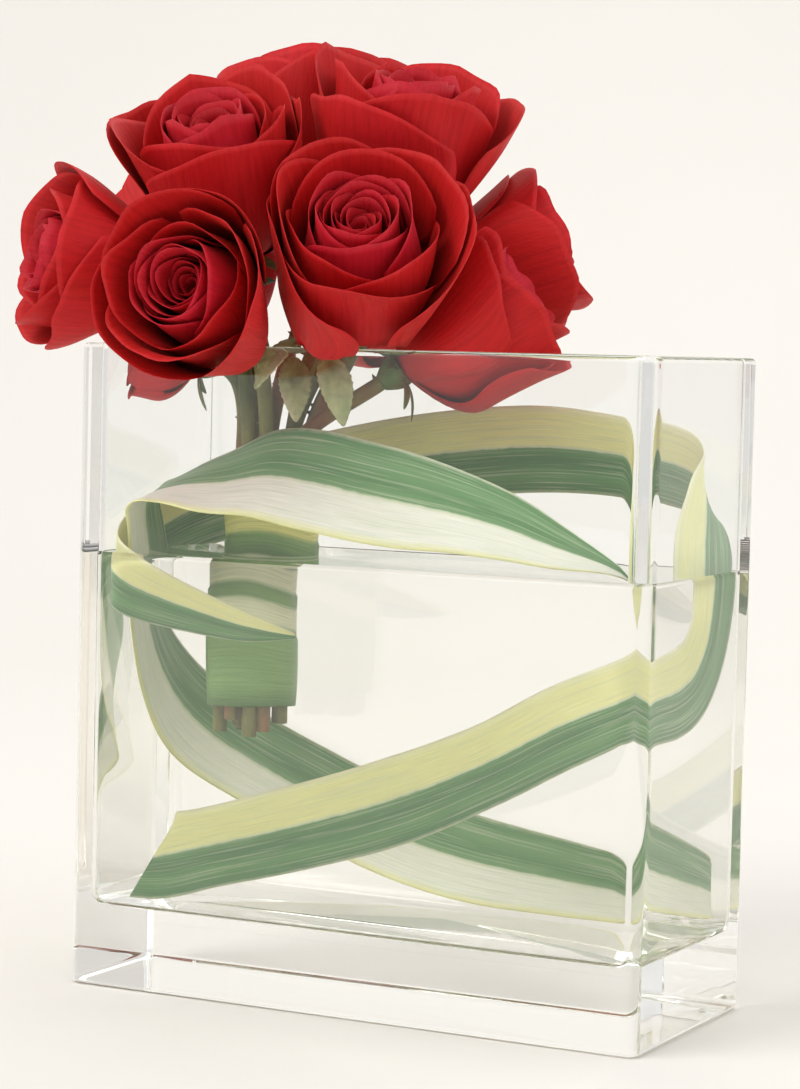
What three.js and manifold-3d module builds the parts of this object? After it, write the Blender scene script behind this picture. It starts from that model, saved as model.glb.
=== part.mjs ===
// Bouquet of roses standing in a rectangular glass vase, with two long ribbon leaves inside.
// Units are millimetres, +Z is up and the vase stands on z = 0 with its underside centred on the origin.
import * as THREE from 'three';
import Module from 'manifold-3d';

const wasm = await Module();
wasm.setup();

// ---- Vase ----
const VASE_WIDTH = 240;
const VASE_DEPTH = 103;
const VASE_HEIGHT = 250;
const VASE_WALL = 6;
const OUTER_CORNER = 4;
const INNER_CORNER = 6;
const FLOOR_EDGE_Z = 31;
const FLOOR_CROWN_Z = 37;
const WATER_LEVEL = 169;
const CLEARANCE = 0.4;

// ---- Bound stems ----
const BUNDLE_X = -61;
const BUNDLE_TOP = 202;
const STEM_RADIUS = 3;
const STEM_SIDES = 6;
const WRAP_BOTTOM = 110;
const WRAP_TOP = 200;
const WRAP_INNER = 17.8;
const WRAP_OUTER = 19.6;

// ---- Blades ----
const BLADE_THICKNESS = 0.9;
const BLADE_CREASE = 0.8;

// ---- Rose heads: centre of the cup, facing direction, radius, height, seat in the bundle ----
const HEADS = [
  { name: 'rose_1', centre: [-53, -71, 269], facing: [0.1, -0.98, 0.15], radius: 35, height: 60, seat: [4.6, -12.8] },
  { name: 'rose_2', centre: [-6, -37, 282], facing: [0.34, -0.69, 0.62], radius: 45, height: 62, seat: [13.2, 0] },
  { name: 'rose_3', centre: [-74, -25, 313], facing: [0.05, -0.5, 0.86], radius: 43, height: 62, seat: [-3.5, -4] },
  { name: 'rose_4', centre: [-16, 15, 326], facing: [0.27, -0.2, 0.94], radius: 44, height: 62, seat: [4.5, 3] },
  { name: 'rose_5', centre: [-113, -45, 279], facing: [-0.7, -0.69, 0.18], radius: 36, height: 58, seat: [-3.2, -13.2] },
  { name: 'rose_6', centre: [12, 42, 284], facing: [0.75, 0.5, 0.42], radius: 35, height: 56, seat: [9, 9.5] },
  { name: 'rose_7', centre: [20, 1, 260], facing: [0.72, 0.35, 0.6], radius: 37, height: 58, seat: [9, -9] },
  { name: 'rose_8', centre: [-101, -29, 250], facing: [-0.7, -0.5, 0.25], radius: 24, height: 42, seat: [-13.3, -1], inside: true },
  { name: 'rose_9', centre: [-118, 36, 286], facing: [-0.74, 0.46, 0.5], radius: 40, height: 60, seat: [-9.2, 9.2] },
  { name: 'rose_10', centre: [-60, 80, 281], facing: [0, 0.89, 0.45], radius: 41, height: 60, seat: [0, 13.2] },
  { name: 'rose_11', centre: [-67, 42, 329], facing: [-0.16, 0.3, 0.94], radius: 44, height: 62, seat: [-4.6, 4] },
];
const SOFT_ZONE = 14;
const HEAD_GAP = 0.8;
const PETAL_THICKNESS = 1.3;
const CORNER_PLANES = [
  { normal: new THREE.Vector3(-1, 0, 0), middle: new THREE.Vector3(-112.4, 0, 0) },
  { normal: new THREE.Vector3(0, -1, 0), middle: new THREE.Vector3(0, -43.9, 0) },
  { normal: new THREE.Vector3(-1, -1, 0).normalize(), middle: new THREE.Vector3(-110, -42, 0) },
];

// Each station of a long blade: x, y, z of its centre line, direction of its leading edge, half width.
const LONG_LEAF_1 = [
  [109, -39, 170.5, 0, 0, 1, 0.9],
  [99, -42.3, 175.5, 0, 0.05, 1, 3.5],
  [80, -43.0, 181, 0, 0.05, 1, 8.5],
  [60, -43.0, 187, 0, 0.05, 1, 12.5],
  [39, -42.8, 191.5, 0.1, 0.06, 1, 15.5],
  [19, -42.4, 194.5, 0.12, 0.08, 1, 18],
  [-2, -41.6, 197.5, 0.12, 0.12, 1, 19],
  [-22, -39.6, 200.5, 0.08, 0.22, 0.97, 19.3],
  [-44, -34.6, 202, 0, 0.5, 0.87, 19],
  [-66, -30, 198.5, -0.02, 0.75, 0.66, 18.6],
  [-88, -27, 196, -0.1, 0.93, 0.34, 18.2],
  [-103.5, -25, 190, -0.22, 0.96, 0.1, 17.5],
  [-106.6, -20, 174, -0.16, 0.97, 0.16, 18],
  [-107.2, -10, 150, -0.1, 0.93, 0.33, 18.3],
  [-106.6, 5, 126, 0.02, 0.8, 0.6, 18.5],
  [-102.5, 21, 108, 0.2, 0.55, 0.8, 18.5],
  [-94, 33.5, 96, 0.3, 0.22, 0.93, 18.5],
  [-78, 40.3, 86, 0.28, 0.04, 0.95, 18.5],
  [-50, 42.4, 74, 0.32, 0, 0.94, 18.5],
  [-16, 42.8, 61.5, 0.26, 0, 0.96, 18.5],
  [20, 42.8, 53.5, 0.15, 0, 0.98, 17.6],
  [60, 42.4, 49.5, 0.06, 0, 1, 15],
  [90, 40.2, 47.5, 0.02, 0, 1, 12.5],
  [100, 37, 47, -0.25, 0, 1, 11],
];
const LONG_LEAF_2 = [
  [-86, -42.8, 51, 0.54, 0, 0.84, 19],
  [-66, -43.0, 56.5, -0.2, 0, 0.97, 15.6],
  [-26, -43.2, 68, -0.33, 0, 0.94, 16],
  [17, -43.2, 82.3, -0.36, 0, 0.93, 16.3],
  [55, -43.0, 99, -0.42, 0, 0.9, 15],
  [83, -41.5, 114.5, -0.43, -0.05, 0.88, 15],
  [102, -31, 124, -0.25, -0.38, 0.88, 15.5],
  [110.3, -12, 127.5, -0.04, -0.32, 0.95, 17],
  [110.6, 4, 133, -0.08, -0.55, 0.83, 17.5],
  [109, 17, 145, -0.16, -0.8, 0.57, 17.4],
  [106.8, 24, 162, -0.28, -0.93, 0.22, 17.4],
  [106, 25.5, 179, -0.3, -0.93, 0.18, 17],
  [104, 30, 193, -0.14, -0.78, 0.6, 15.6],
  [99, 36.5, 202, 0.12, -0.38, 0.9, 15],
  [88, 41, 207.5, 0.16, -0.12, 0.97, 15.4],
  [66, 42.8, 211, 0.08, 0, 0.99, 15.6],
  [35, 43.0, 212.5, 0, 0, 1, 17],
  [0, 43.0, 209.5, -0.08, 0, 1, 17.4],
  [-35, 43.0, 204, -0.14, 0, 1, 17.4],
  [-72, 42.6, 196, -0.2, 0, 0.98, 17],
  [-98, 37.5, 189, -0.2, -0.15, 0.97, 16.5],
  [-110, 21, 182, -0.05, -0.3, 0.95, 16],
  [-112.2, -2, 175, 0, -0.3, 0.95, 15.5],
  [-111.8, -24, 167, 0, -0.3, 0.95, 15],
  [-107.5, -38, 161, 0.15, -0.2, 0.97, 13.4],
  [-94, -43.2, 155, 0.24, 0, 0.97, 11.6],
  [-68, -43.6, 148.2, 0.22, 0, 0.98, 8.4],
  [-45, -43.6, 143.6, 0.15, 0, 0.99, 5.4],
  [-25, -43.4, 141.6, 0.1, 0, 1, 0.9],
];

const FINISHES = {
  glass: { color: 0xdfe8e8, roughness: 0.05, metalness: 0 },
  water: { color: 0xcfdcdc, roughness: 0.05, metalness: 0 },
  petal: { color: 0xb01c22, roughness: 0.8, metalness: 0 },
  heart: { color: 0x8f1218, roughness: 0.8, metalness: 0 },
  calyx: { color: 0x55702f, roughness: 0.7, metalness: 0 },
  stem: { color: 0x6b5a30, roughness: 0.7, metalness: 0 },
  blade: { color: 0x6f9a66, roughness: 0.5, metalness: 0 },
  wrap: { color: 0xc9cf7a, roughness: 0.5, metalness: 0 },
  leaflet: { color: 0x8a9a5a, roughness: 0.6, metalness: 0 },
};

/** Turns a ring-by-ring list of points into one closed solid, both ends closed by a fan.
 * The sides from mirroredFrom on have their diagonals turned, so that both faces of a twisted blade run parallel. */
function loft(rings, mirroredFrom = Infinity) {
  const sides = rings[0].length;
  const points = [];
  const triangles = [];
  rings.forEach((ring) => ring.forEach((point) => points.push(point)));
  const mean = (ring) => ring.reduce((sum, point) => sum.clone().add(point), new THREE.Vector3())
    .divideScalar(sides);
  const first = points.push(mean(rings[0])) - 1;
  const last = points.push(mean(rings[rings.length - 1])) - 1;
  for (let r = 0; r < rings.length - 1; r += 1) {
    for (let i = 0; i < sides; i += 1) {
      const a = r * sides + i;
      const b = r * sides + ((i + 1) % sides);
      if (i >= mirroredFrom) {
        triangles.push([a, b, a + sides], [b, b + sides, a + sides]);
      } else {
        triangles.push([a, b, b + sides], [a, b + sides, a + sides]);
      }
    }
  }
  const top = (rings.length - 1) * sides;
  for (let i = 0; i < sides; i += 1) {
    const next = (i + 1) % sides;
    triangles.push([first, next, i], [last, top + i, top + next]);
  }
  return solid(points, triangles);
}

/** Makes a manifold solid from points and triangles, turned so that it faces outwards. */
function solid(points, triangles) {
  const vertProperties = new Float32Array(points.flatMap((p) => [p.x, p.y, p.z]));
  const volume = triangles.reduce((sum, [a, b, c]) => sum
    + points[a].dot(points[b].clone().cross(points[c])), 0);
  const order = volume > 0 ? triangles : triangles.map(([a, b, c]) => [a, c, b]);
  const triVerts = new Uint32Array(order.flat());
  return new wasm.Manifold(new wasm.Mesh({ numProp: 3, vertProperties, triVerts }));
}

/** Keeps the biggest of the separate lumps a cut may have left. */
function biggest(body) {
  const lumps = body.decompose();
  lumps.sort((a, b) => b.volume() - a.volume());
  return lumps[0];
}

/** Wraps a manifold solid as a named mesh with its own finish. */
function meshOf(body, name, finish) {
  const data = body.getMesh();
  const geometry = new THREE.BufferGeometry();
  const positions = new Float32Array(data.numVert * 3);
  for (let i = 0; i < data.numVert; i += 1) {
    for (let k = 0; k < 3; k += 1) {
      positions[3 * i + k] = data.vertProperties[data.numProp * i + k];
    }
  }
  geometry.setAttribute('position', new THREE.BufferAttribute(positions, 3));
  geometry.setIndex(Array.from(data.triVerts));
  geometry.computeVertexNormals();
  const mesh = new THREE.Mesh(geometry, new THREE.MeshStandardMaterial(FINISHES[finish]));
  mesh.name = name;
  return mesh;
}

/** Ring of a rectangle with rounded corners at height z, inset on every side. */
function roundedRing(width, depth, corner, z, inset = 0) {
  const halfX = width / 2 - inset;
  const halfY = depth / 2 - inset;
  const radius = Math.max(corner - inset, 0.8);
  const ring = [];
  const perCorner = 3;
  for (let quarter = 0; quarter < 4; quarter += 1) {
    const signX = quarter === 0 || quarter === 3 ? 1 : -1;
    const signY = quarter < 2 ? 1 : -1;
    for (let i = 0; i <= perCorner; i += 1) {
      const angle = (Math.PI / 2) * (quarter + i / perCorner);
      ring.push(new THREE.Vector3(
        signX * (halfX - radius) + radius * Math.cos(angle),
        signY * (halfY - radius) + radius * Math.sin(angle),
        z,
      ));
    }
  }
  return ring;
}

/** Ring of the crowned cavity floor: share 1 is the foot of the wall, share 0 the middle. */
function floorRing(share, gap) {
  const width = VASE_WIDTH - 2 * VASE_WALL - 2 * gap - 10;
  const depth = VASE_DEPTH - 2 * VASE_WALL - 2 * gap - 10;
  const z = FLOOR_CROWN_Z + (FLOOR_EDGE_Z - FLOOR_CROWN_Z) * share * share + gap;
  return roundedRing(width * share, depth * share, INNER_CORNER * share, z);
}

/** Rings of the cavity from the middle of its floor up to the given height. */
function cavityRings(gap, top) {
  const width = VASE_WIDTH - 2 * VASE_WALL - 2 * gap;
  const depth = VASE_DEPTH - 2 * VASE_WALL - 2 * gap;
  return [
    floorRing(0.35, gap),
    floorRing(0.7, gap),
    floorRing(1, gap),
    roundedRing(width, depth, INNER_CORNER, FLOOR_EDGE_Z + 1.6 + gap, 1.6),
    roundedRing(width, depth, INNER_CORNER, FLOOR_EDGE_Z + 5 + gap),
    roundedRing(width, depth, INNER_CORNER, top),
  ];
}

/** The thick-based glass vase as one solid. */
function buildVase() {
  const outside = [
    roundedRing(VASE_WIDTH, VASE_DEPTH, OUTER_CORNER, 0, 1.5),
    roundedRing(VASE_WIDTH, VASE_DEPTH, OUTER_CORNER, 1.5),
    roundedRing(VASE_WIDTH, VASE_DEPTH, OUTER_CORNER, VASE_HEIGHT - 1.2),
    roundedRing(VASE_WIDTH, VASE_DEPTH, OUTER_CORNER, VASE_HEIGHT, 1.2),
  ];
  const inside = cavityRings(0, VASE_HEIGHT - 1.2).reverse();
  const lip = roundedRing(VASE_WIDTH - 2 * VASE_WALL, VASE_DEPTH - 2 * VASE_WALL,
    INNER_CORNER, VASE_HEIGHT, -1.2);
  return loft([...outside, lip, ...inside]);
}

/** Catmull-Rom blend of rows of numbers, sampled evenly between the rows. */
function blend(rows, perSpan) {
  const samples = [];
  for (let i = 0; i < rows.length - 1; i += 1) {
    const p0 = rows[Math.max(i - 1, 0)];
    const p1 = rows[i];
    const p2 = rows[i + 1];
    const p3 = rows[Math.min(i + 2, rows.length - 1)];
    for (let k = 0; k < perSpan; k += 1) {
      const t = k / perSpan;
      samples.push(p1.map((_, c) => 0.5 * (2 * p1[c] + (p2[c] - p0[c]) * t
        + (2 * p0[c] - 5 * p1[c] + 4 * p2[c] - p3[c]) * t * t
        + (3 * p1[c] - p0[c] - 3 * p2[c] + p3[c]) * t * t * t)));
    }
  }
  samples.push(rows[rows.length - 1].slice());
  return samples;
}

/** A long blade of thin lens section swept through its stations, grown by an optional margin. */
function buildBlade(stations, perSpan, grow = 0) {
  const rows = blend(stations, perSpan);
  const centres = rows.map((row) => new THREE.Vector3(row[0], row[1], row[2]));
  const half = BLADE_THICKNESS / 2 + grow;
  const rings = rows.map((row, i) => {
    const ahead = centres[Math.min(i + 1, centres.length - 1)].clone()
      .sub(centres[Math.max(i - 1, 0)]).normalize();
    const across = new THREE.Vector3(row[3], row[4], row[5]).normalize();
    const out = ahead.clone().cross(across).normalize();
    const reach = Math.max(row[6], 0.8) + grow;
    const crease = BLADE_CREASE * Math.min(1, reach / 12);
    const place = (w, n) => centres[i].clone().addScaledVector(across, w).addScaledVector(out, n);
    const ring = [
      place(reach, 0.6 * half),
      place(0, half + crease),
      place(-reach, 0.6 * half),
      place(-reach, -0.6 * half),
      place(0, -half + crease),
      place(reach, -0.6 * half),
    ];
    if (grow > 0 && (i === 0 || i === rows.length - 1)) {
      const push = i === 0 ? -grow : grow;
      ring.forEach((point) => point.addScaledVector(ahead, push));
    }
    return ring;
  });
  return loft(rings, 3);
}

/** A round tube through the given points, with its own radius at every point. */
function buildTube(points, radii, sides) {
  let side = null;
  const rings = points.map((point, i) => {
    const ahead = points[Math.min(i + 1, points.length - 1)].clone()
      .sub(points[Math.max(i - 1, 0)]).normalize();
    const start = side || new THREE.Vector3(1, 0, 0);
    side = start.clone().addScaledVector(ahead, -start.dot(ahead)).normalize();
    const other = ahead.clone().cross(side);
    const ring = [];
    for (let k = 0; k < sides; k += 1) {
      const angle = (2 * Math.PI * k) / sides;
      ring.push(point.clone().addScaledVector(side, radii[i] * Math.cos(angle))
        .addScaledVector(other, radii[i] * Math.sin(angle)));
    }
    return ring;
  });
  return loft(rings);
}

/** Base point, axes and size of one head. */
function headFrame(head) {
  const centre = new THREE.Vector3(...head.centre);
  const axis = new THREE.Vector3(...head.facing).normalize();
  const base = centre.clone().addScaledVector(axis, -head.height / 2);
  const hint = Math.abs(axis.z) < 0.9 ? new THREE.Vector3(0, 0, 1) : new THREE.Vector3(0, 1, 0);
  const sideX = hint.clone().cross(axis).normalize();
  const sideY = axis.clone().cross(sideX);
  return { centre, axis, base, sideX, sideY };
}

/** Path of one stem from its cut end in the bundle to the underside of its head. */
function stemPath(head, index) {
  const { axis, base } = headFrame(head);
  const foot = new THREE.Vector3(BUNDLE_X + head.seat[0], head.seat[1], 99 + (index * 5) % 7);
  const bound = new THREE.Vector3(foot.x, foot.y, BUNDLE_TOP);
  const lift = base.z - BUNDLE_TOP;
  const end = base.clone().addScaledVector(axis, -8.4);
  const curve = new THREE.CubicBezierCurve3(
    bound,
    bound.clone().add(new THREE.Vector3(0, 0, lift * 0.35)),
    end.clone().addScaledVector(axis, -Math.min(22, lift * 0.3)),
    end,
  );
  return [foot, ...curve.getPoints(6)];
}

/** One stem as a tube, grown by an optional margin. */
function buildStem(head, index, grow = 0) {
  const points = stemPath(head, index);
  const radii = points.map(() => STEM_RADIUS + grow);
  return buildTube(points, radii, STEM_SIDES);
}

/** Receptacle below the petals with five short sepals folded back from it. */
function buildCalyx(head, grow = 0) {
  const { axis, base, sideX, sideY } = headFrame(head);
  const at = (angle, radius, along) => base.clone()
    .addScaledVector(sideX, radius * Math.cos(angle))
    .addScaledVector(sideY, radius * Math.sin(angle))
    .addScaledVector(axis, along);
  const profile = [[2.2, -7.1], [5.4, -5.6], [6.6, -3], [6.2, -0.6]];
  const rings = profile.map(([radius, along]) => {
    const ring = [];
    for (let k = 0; k < 8; k += 1) {
      ring.push(at((Math.PI * k) / 4, radius + grow, along + (along < -5 ? -grow : grow)));
    }
    return ring;
  });
  let body = loft(rings);
  for (let s = 0; s < 5; s += 1) {
    const turn = (2 * Math.PI * s) / 5;
    const spine = [[4.5, -2.2, 3.2], [11, -3.4, 3.4], [17.5, -8, 0.5]];
    const sepal = spine.map(([radius, along, half]) => {
      const middle = at(turn, radius, along);
      const across = sideX.clone().multiplyScalar(-Math.sin(turn))
        .addScaledVector(sideY, Math.cos(turn));
      const place = (w, n) => middle.clone().addScaledVector(across, w).addScaledVector(axis, n);
      const thick = 0.6 + grow;
      return [place(half + grow, 0), place(0, thick), place(-half - grow, 0), place(0, -thick)];
    });
    body = body.add(loft(sepal));
  }
  return body;
}

/** Moves a petal point so that neighbouring heads press against each other and never meet. */
function squeeze(point, index) {
  const own = new THREE.Vector3(...HEADS[index].centre);
  const planes = HEADS.filter((_, k) => k !== index).map((other) => {
    const centre = new THREE.Vector3(...other.centre);
    const normal = centre.clone().sub(own);
    const share = HEADS[index].radius / (HEADS[index].radius + other.radius);
    const middle = own.clone().addScaledVector(normal, share);
    return { normal: normal.normalize(), middle };
  });
  if (HEADS[index].inside) {
    planes.push(...CORNER_PLANES);
  }
  const moved = point.clone();
  planes.forEach(({ normal, middle }) => {
    const depth = moved.clone().sub(middle).dot(normal);
    if (depth > -SOFT_ZONE) {
      const room = SOFT_ZONE - HEAD_GAP;
      const target = -HEAD_GAP - room * Math.exp(-(depth + SOFT_ZONE) / room);
      moved.addScaledVector(normal, target - depth);
    }
  });
  for (let pass = 0; pass < 12; pass += 1) {
    planes.forEach(({ normal, middle }) => {
      const depth = moved.clone().sub(middle).dot(normal);
      if (depth > -HEAD_GAP / 2) {
        moved.addScaledVector(normal, -HEAD_GAP / 2 - depth);
      }
    });
  }
  return moved;
}

/** One whorl of petals as a cup with a lobed rim. */
function buildWhorl(index, profile, lobes, perLobe, dip, turn) {
  const head = HEADS[index];
  const { axis, base, sideX, sideY } = headFrame(head);
  const count = lobes * perLobe;
  const ringAt = (radiusShare, alongShare, rim, inward, lift) => {
    const ring = [];
    for (let k = 0; k < count; k += 1) {
      const angle = (2 * Math.PI * k) / count + turn;
      const lobe = 0.5 - 0.5 * Math.cos((2 * Math.PI * k) / perLobe);
      const drop = 1 - rim * dip * (1 - lobe);
      const swell = 1 + 0.07 * rim * (lobe - 0.5);
      const radius = Math.max(head.radius * radiusShare * swell - inward, 0.5);
      const along = head.height * alongShare * drop + lift;
      const point = base.clone().addScaledVector(sideX, radius * Math.cos(angle))
        .addScaledVector(sideY, radius * Math.sin(angle)).addScaledVector(axis, along);
      ring.push(squeeze(point, index));
    }
    return ring;
  };
  const outside = profile.map(([radius, along], i) => ringAt(radius, along, i / (profile.length - 1), 0, 0));
  const inside = profile.map(([radius, along], i) => ringAt(radius, along,
    i / (profile.length - 1), PETAL_THICKNESS, i === 0 ? PETAL_THICKNESS * 1.2 : 0.3)).reverse();
  return loft([...outside, ...inside]);
}

/** Tight rolled middle of a head as one bud. */
function buildBud(index) {
  const head = HEADS[index];
  const { axis, base, sideX, sideY } = headFrame(head);
  const profile = [[0.16, 0.12], [0.34, 0.4], [0.36, 0.7], [0.28, 0.9], [0.12, 0.84]];
  const rings = profile.map(([radiusShare, alongShare], i) => {
    const ring = [];
    for (let k = 0; k < 8; k += 1) {
      const angle = (Math.PI * k) / 4;
      const spiral = 1 + 0.1 * Math.cos(angle - i);
      const radius = head.radius * radiusShare * spiral;
      const along = head.height * alongShare;
      ring.push(squeeze(base.clone().addScaledVector(sideX, radius * Math.cos(angle))
        .addScaledVector(sideY, radius * Math.sin(angle)).addScaledVector(axis, along), index));
    }
    return ring;
  });
  return loft(rings);
}

/** A small pointed leaflet between two points. */
function buildLeaflet(from, to, half, normal) {
  const start = new THREE.Vector3(...from);
  const ahead = new THREE.Vector3(...to).sub(start);
  const up = new THREE.Vector3(...normal).normalize();
  const across = ahead.clone().cross(up).normalize();
  const shape = [[0, 0.05], [0.25, 0.8], [0.5, 1], [0.8, 0.62], [1, 0.05]];
  const rings = shape.map(([t, share]) => {
    const middle = start.clone().addScaledVector(ahead, t).addScaledVector(up, 3 * Math.sin(Math.PI * t));
    const place = (w, n) => middle.clone().addScaledVector(across, w).addScaledVector(up, n);
    const width = Math.max(half * share, 0.7);
    return [place(width, 0.8), place(0, 0.35), place(-width, 0.8),
      place(-width, 0.2), place(0, -0.5), place(width, 0.2)];
  });
  return loft(rings);
}

/** The wrapping leaf as a sleeve whose two ends are cut aslant. */
function buildWrap() {
  const sides = 20;
  const ringAt = (radius, z, slant) => {
    const ring = [];
    for (let k = 0; k < sides; k += 1) {
      const angle = (2 * Math.PI * k) / sides;
      ring.push(new THREE.Vector3(BUNDLE_X + radius * Math.cos(angle), radius * Math.sin(angle),
        z + slant * Math.cos(angle + 0.6)));
    }
    return ring;
  };
  const outer = [ringAt(WRAP_OUTER, WRAP_BOTTOM, 1.5), ringAt(WRAP_OUTER, WRAP_TOP, 3)];
  const inner = [ringAt(WRAP_INNER, WRAP_TOP, 3), ringAt(WRAP_INNER, WRAP_BOTTOM, 1.5)];
  return ringBody([...outer, ...inner]);
}

/** Rings joined end to end around a hole. */
function ringBody(rings) {
  const sides = rings[0].length;
  const points = rings.flat();
  const triangles = [];
  for (let r = 0; r < rings.length; r += 1) {
    const next = (r + 1) % rings.length;
    for (let i = 0; i < sides; i += 1) {
      const j = (i + 1) % sides;
      triangles.push([r * sides + i, r * sides + j, next * sides + j]);
      triangles.push([r * sides + i, next * sides + j, next * sides + i]);
    }
  }
  return solid(points, triangles);
}

/** A plain box from its lowest to its highest corner. */
function box(low, high) {
  const size = high.map((value, k) => value - low[k]);
  return wasm.Manifold.cube(size).translate(low);
}

/** Walls of the vase, a little thicker than they are, for keeping petals clear of the glass. */
function fatWalls() {
  const grow = 0.6;
  const x = VASE_WIDTH / 2 + grow;
  const y = VASE_DEPTH / 2 + grow;
  const outside = box([-x, -y, 150], [x, y, VASE_HEIGHT + grow]);
  const inX = VASE_WIDTH / 2 - VASE_WALL - grow;
  const inY = VASE_DEPTH / 2 - VASE_WALL - grow;
  return outside.subtract(box([-inX, -inY, 149], [inX, inY, VASE_HEIGHT + 5]));
}

/** The water, shaped by the cavity and everything that stands in it. */
function buildWater() {
  const foot = new THREE.Vector3(BUNDLE_X, 0, 97);
  const head = new THREE.Vector3(BUNDLE_X, 0, WATER_LEVEL + 5);
  const bundle = buildTube([foot, head], [WRAP_OUTER + 0.7, WRAP_OUTER + 0.7], 20);
  const body = loft(cavityRings(CLEARANCE, WATER_LEVEL))
    .subtract(bundle)
    .subtract(buildBlade(LONG_LEAF_1, 1, 0.5))
    .subtract(buildBlade(LONG_LEAF_2, 1, 0.5));
  return biggest(body);
}

const PETAL_PROFILE_OUTER = [[0.12, 0.01], [0.55, 0.1], [0.86, 0.4], [0.9, 0.66], [1, 0.84]];
const PETAL_PROFILE_INNER = [[0.1, 0.1], [0.5, 0.24], [0.66, 0.6], [0.6, 0.97]];

const group = new THREE.Group();
group.name = 'roses_in_vase';
group.add(meshOf(buildVase(), 'vase', 'glass'));
group.add(meshOf(buildWater(), 'water', 'water'));
group.add(meshOf(buildBlade(LONG_LEAF_1, 1), 'long_leaf_1', 'blade'));
group.add(meshOf(buildBlade(LONG_LEAF_2, 1), 'long_leaf_2', 'blade'));
group.add(meshOf(buildWrap(), 'stem_wrap', 'wrap'));

const stems = HEADS.map((head, index) => buildStem(head, index));
const fatStems = HEADS.map((head, index) => buildStem(head, index, 0.6));
const fatCalyxes = HEADS.map((head) => buildCalyx(head, 0.5));
const calyxes = HEADS.map((head, index) => {
  const others = [...fatStems.filter((_, k) => k !== index), ...fatCalyxes.slice(0, index)]
    .reduce((sum, part) => sum.add(part));
  return biggest(buildCalyx(head).subtract(others).subtract(fatWalls()));
});
const leaflets = [
  buildLeaflet([-40, -23, 243], [-33, -35, 226], 8, [0.5, -0.8, 0.4]),
  buildLeaflet([-22, -30, 246], [-12, -36, 224], 8.5, [0.6, -0.7, 0.3]),
  buildLeaflet([-34, -32, 252], [-46, -39, 238], 7, [-0.2, -0.9, 0.4]),
];
const keepOut = [...fatStems, ...fatCalyxes, fatWalls()].reduce((sum, part) => sum.add(part));

HEADS.forEach((head, index) => {
  const outer = buildWhorl(index, PETAL_PROFILE_OUTER, 5, 4, 0.24, 0.3 * index);
  const middle = buildWhorl(index, PETAL_PROFILE_INNER, 4, 3, 0.1, 0.4 + 0.5 * index);
  const inner = middle.add(buildBud(index));
  group.add(meshOf(stems[index], `${head.name}_stem`, 'stem'));
  group.add(meshOf(calyxes[index], `${head.name}_calyx`, 'calyx'));
  group.add(meshOf(biggest(outer.subtract(keepOut)), `${head.name}_outer_petals`, 'petal'));
  group.add(meshOf(biggest(inner.subtract(keepOut)), `${head.name}_inner_petals`, 'heart'));
});
leaflets.forEach((leaflet, index) => {
  group.add(meshOf(leaflet, `rose_leaflet_${index + 1}`, 'leaflet'));
});

export default group;
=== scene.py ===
"""Eleven red roses bound with a leaf, in a rectangular glass vase of water with two ribbon leaves.

Sizes are written in millimetres and every piece is made in metres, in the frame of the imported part.
The part has one body, so every piece rides on it.
"""
import logging
import math
from dataclasses import dataclass, field
from enum import Enum

import bpy
import numpy as np
from mathutils import Matrix, Vector


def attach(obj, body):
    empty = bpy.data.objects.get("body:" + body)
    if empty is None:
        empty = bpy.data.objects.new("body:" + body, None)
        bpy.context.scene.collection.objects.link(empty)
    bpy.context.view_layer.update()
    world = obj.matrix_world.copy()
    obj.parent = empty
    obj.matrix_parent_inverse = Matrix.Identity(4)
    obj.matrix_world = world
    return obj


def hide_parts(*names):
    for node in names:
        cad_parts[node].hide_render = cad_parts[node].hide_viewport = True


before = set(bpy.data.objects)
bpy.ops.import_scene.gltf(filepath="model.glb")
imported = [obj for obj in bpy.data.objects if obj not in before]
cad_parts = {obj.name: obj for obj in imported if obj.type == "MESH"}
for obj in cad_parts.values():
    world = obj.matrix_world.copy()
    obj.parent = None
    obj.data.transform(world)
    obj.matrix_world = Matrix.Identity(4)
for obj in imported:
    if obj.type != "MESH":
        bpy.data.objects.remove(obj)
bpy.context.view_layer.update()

logging.basicConfig(level=logging.INFO, format="%(message)s")
LOG = logging.getLogger("roses")

MM = 0.001
BODY = "root"
GOLDEN_ANGLE = math.radians(137.5)
Z_UP = np.array([0.0, 0.0, 1.0])
Y_BACK = np.array([0.0, 1.0, 0.0])

# ---- Vase, in millimetres ----
VASE_WIDTH = 240.0
VASE_DEPTH = 103.0
VASE_HEIGHT = 250.0
VASE_WALL = 6.0
OUTER_CORNER = 4.0
INNER_CORNER = 6.0
FLOOR_EDGE_Z = 31.0
FLOOR_CROWN_Z = 37.0
FLOOR_CURVE = 5.0
UNDERSIDE_LIFT = 0.6
WATER_LEVEL = 169.0

# ---- Bound stems, in millimetres ----
BUNDLE_X = -61.0
BUNDLE_TOP = 202.0
STEM_RADIUS = 3.0
STEM_WOBBLE = 0.7
CALYX_REACH = 8.4
PRICKLES_FROM = 206.0
PRICKLE_LENGTH = 2.2
PRICKLE_DENSITY = 1500.0  # for each square metre

# ---- Pressing of neighbouring heads, in millimetres ----
SOFT_ZONE = 14.0
HEAD_GAP = 0.8
GLASS_GAP = 1.2
OUTER_SHARE = 0.86
HEART_CORE = 1.9
ANCHOR_INSET = 34.0
ANCHOR_DEPTH = 40.0
TINY = 1e-6
FAR = 1e6


def unit(vector: np.ndarray) -> np.ndarray:
    """Returns the vector at length one."""
    return vector / np.linalg.norm(vector, axis=-1, keepdims=True)


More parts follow.
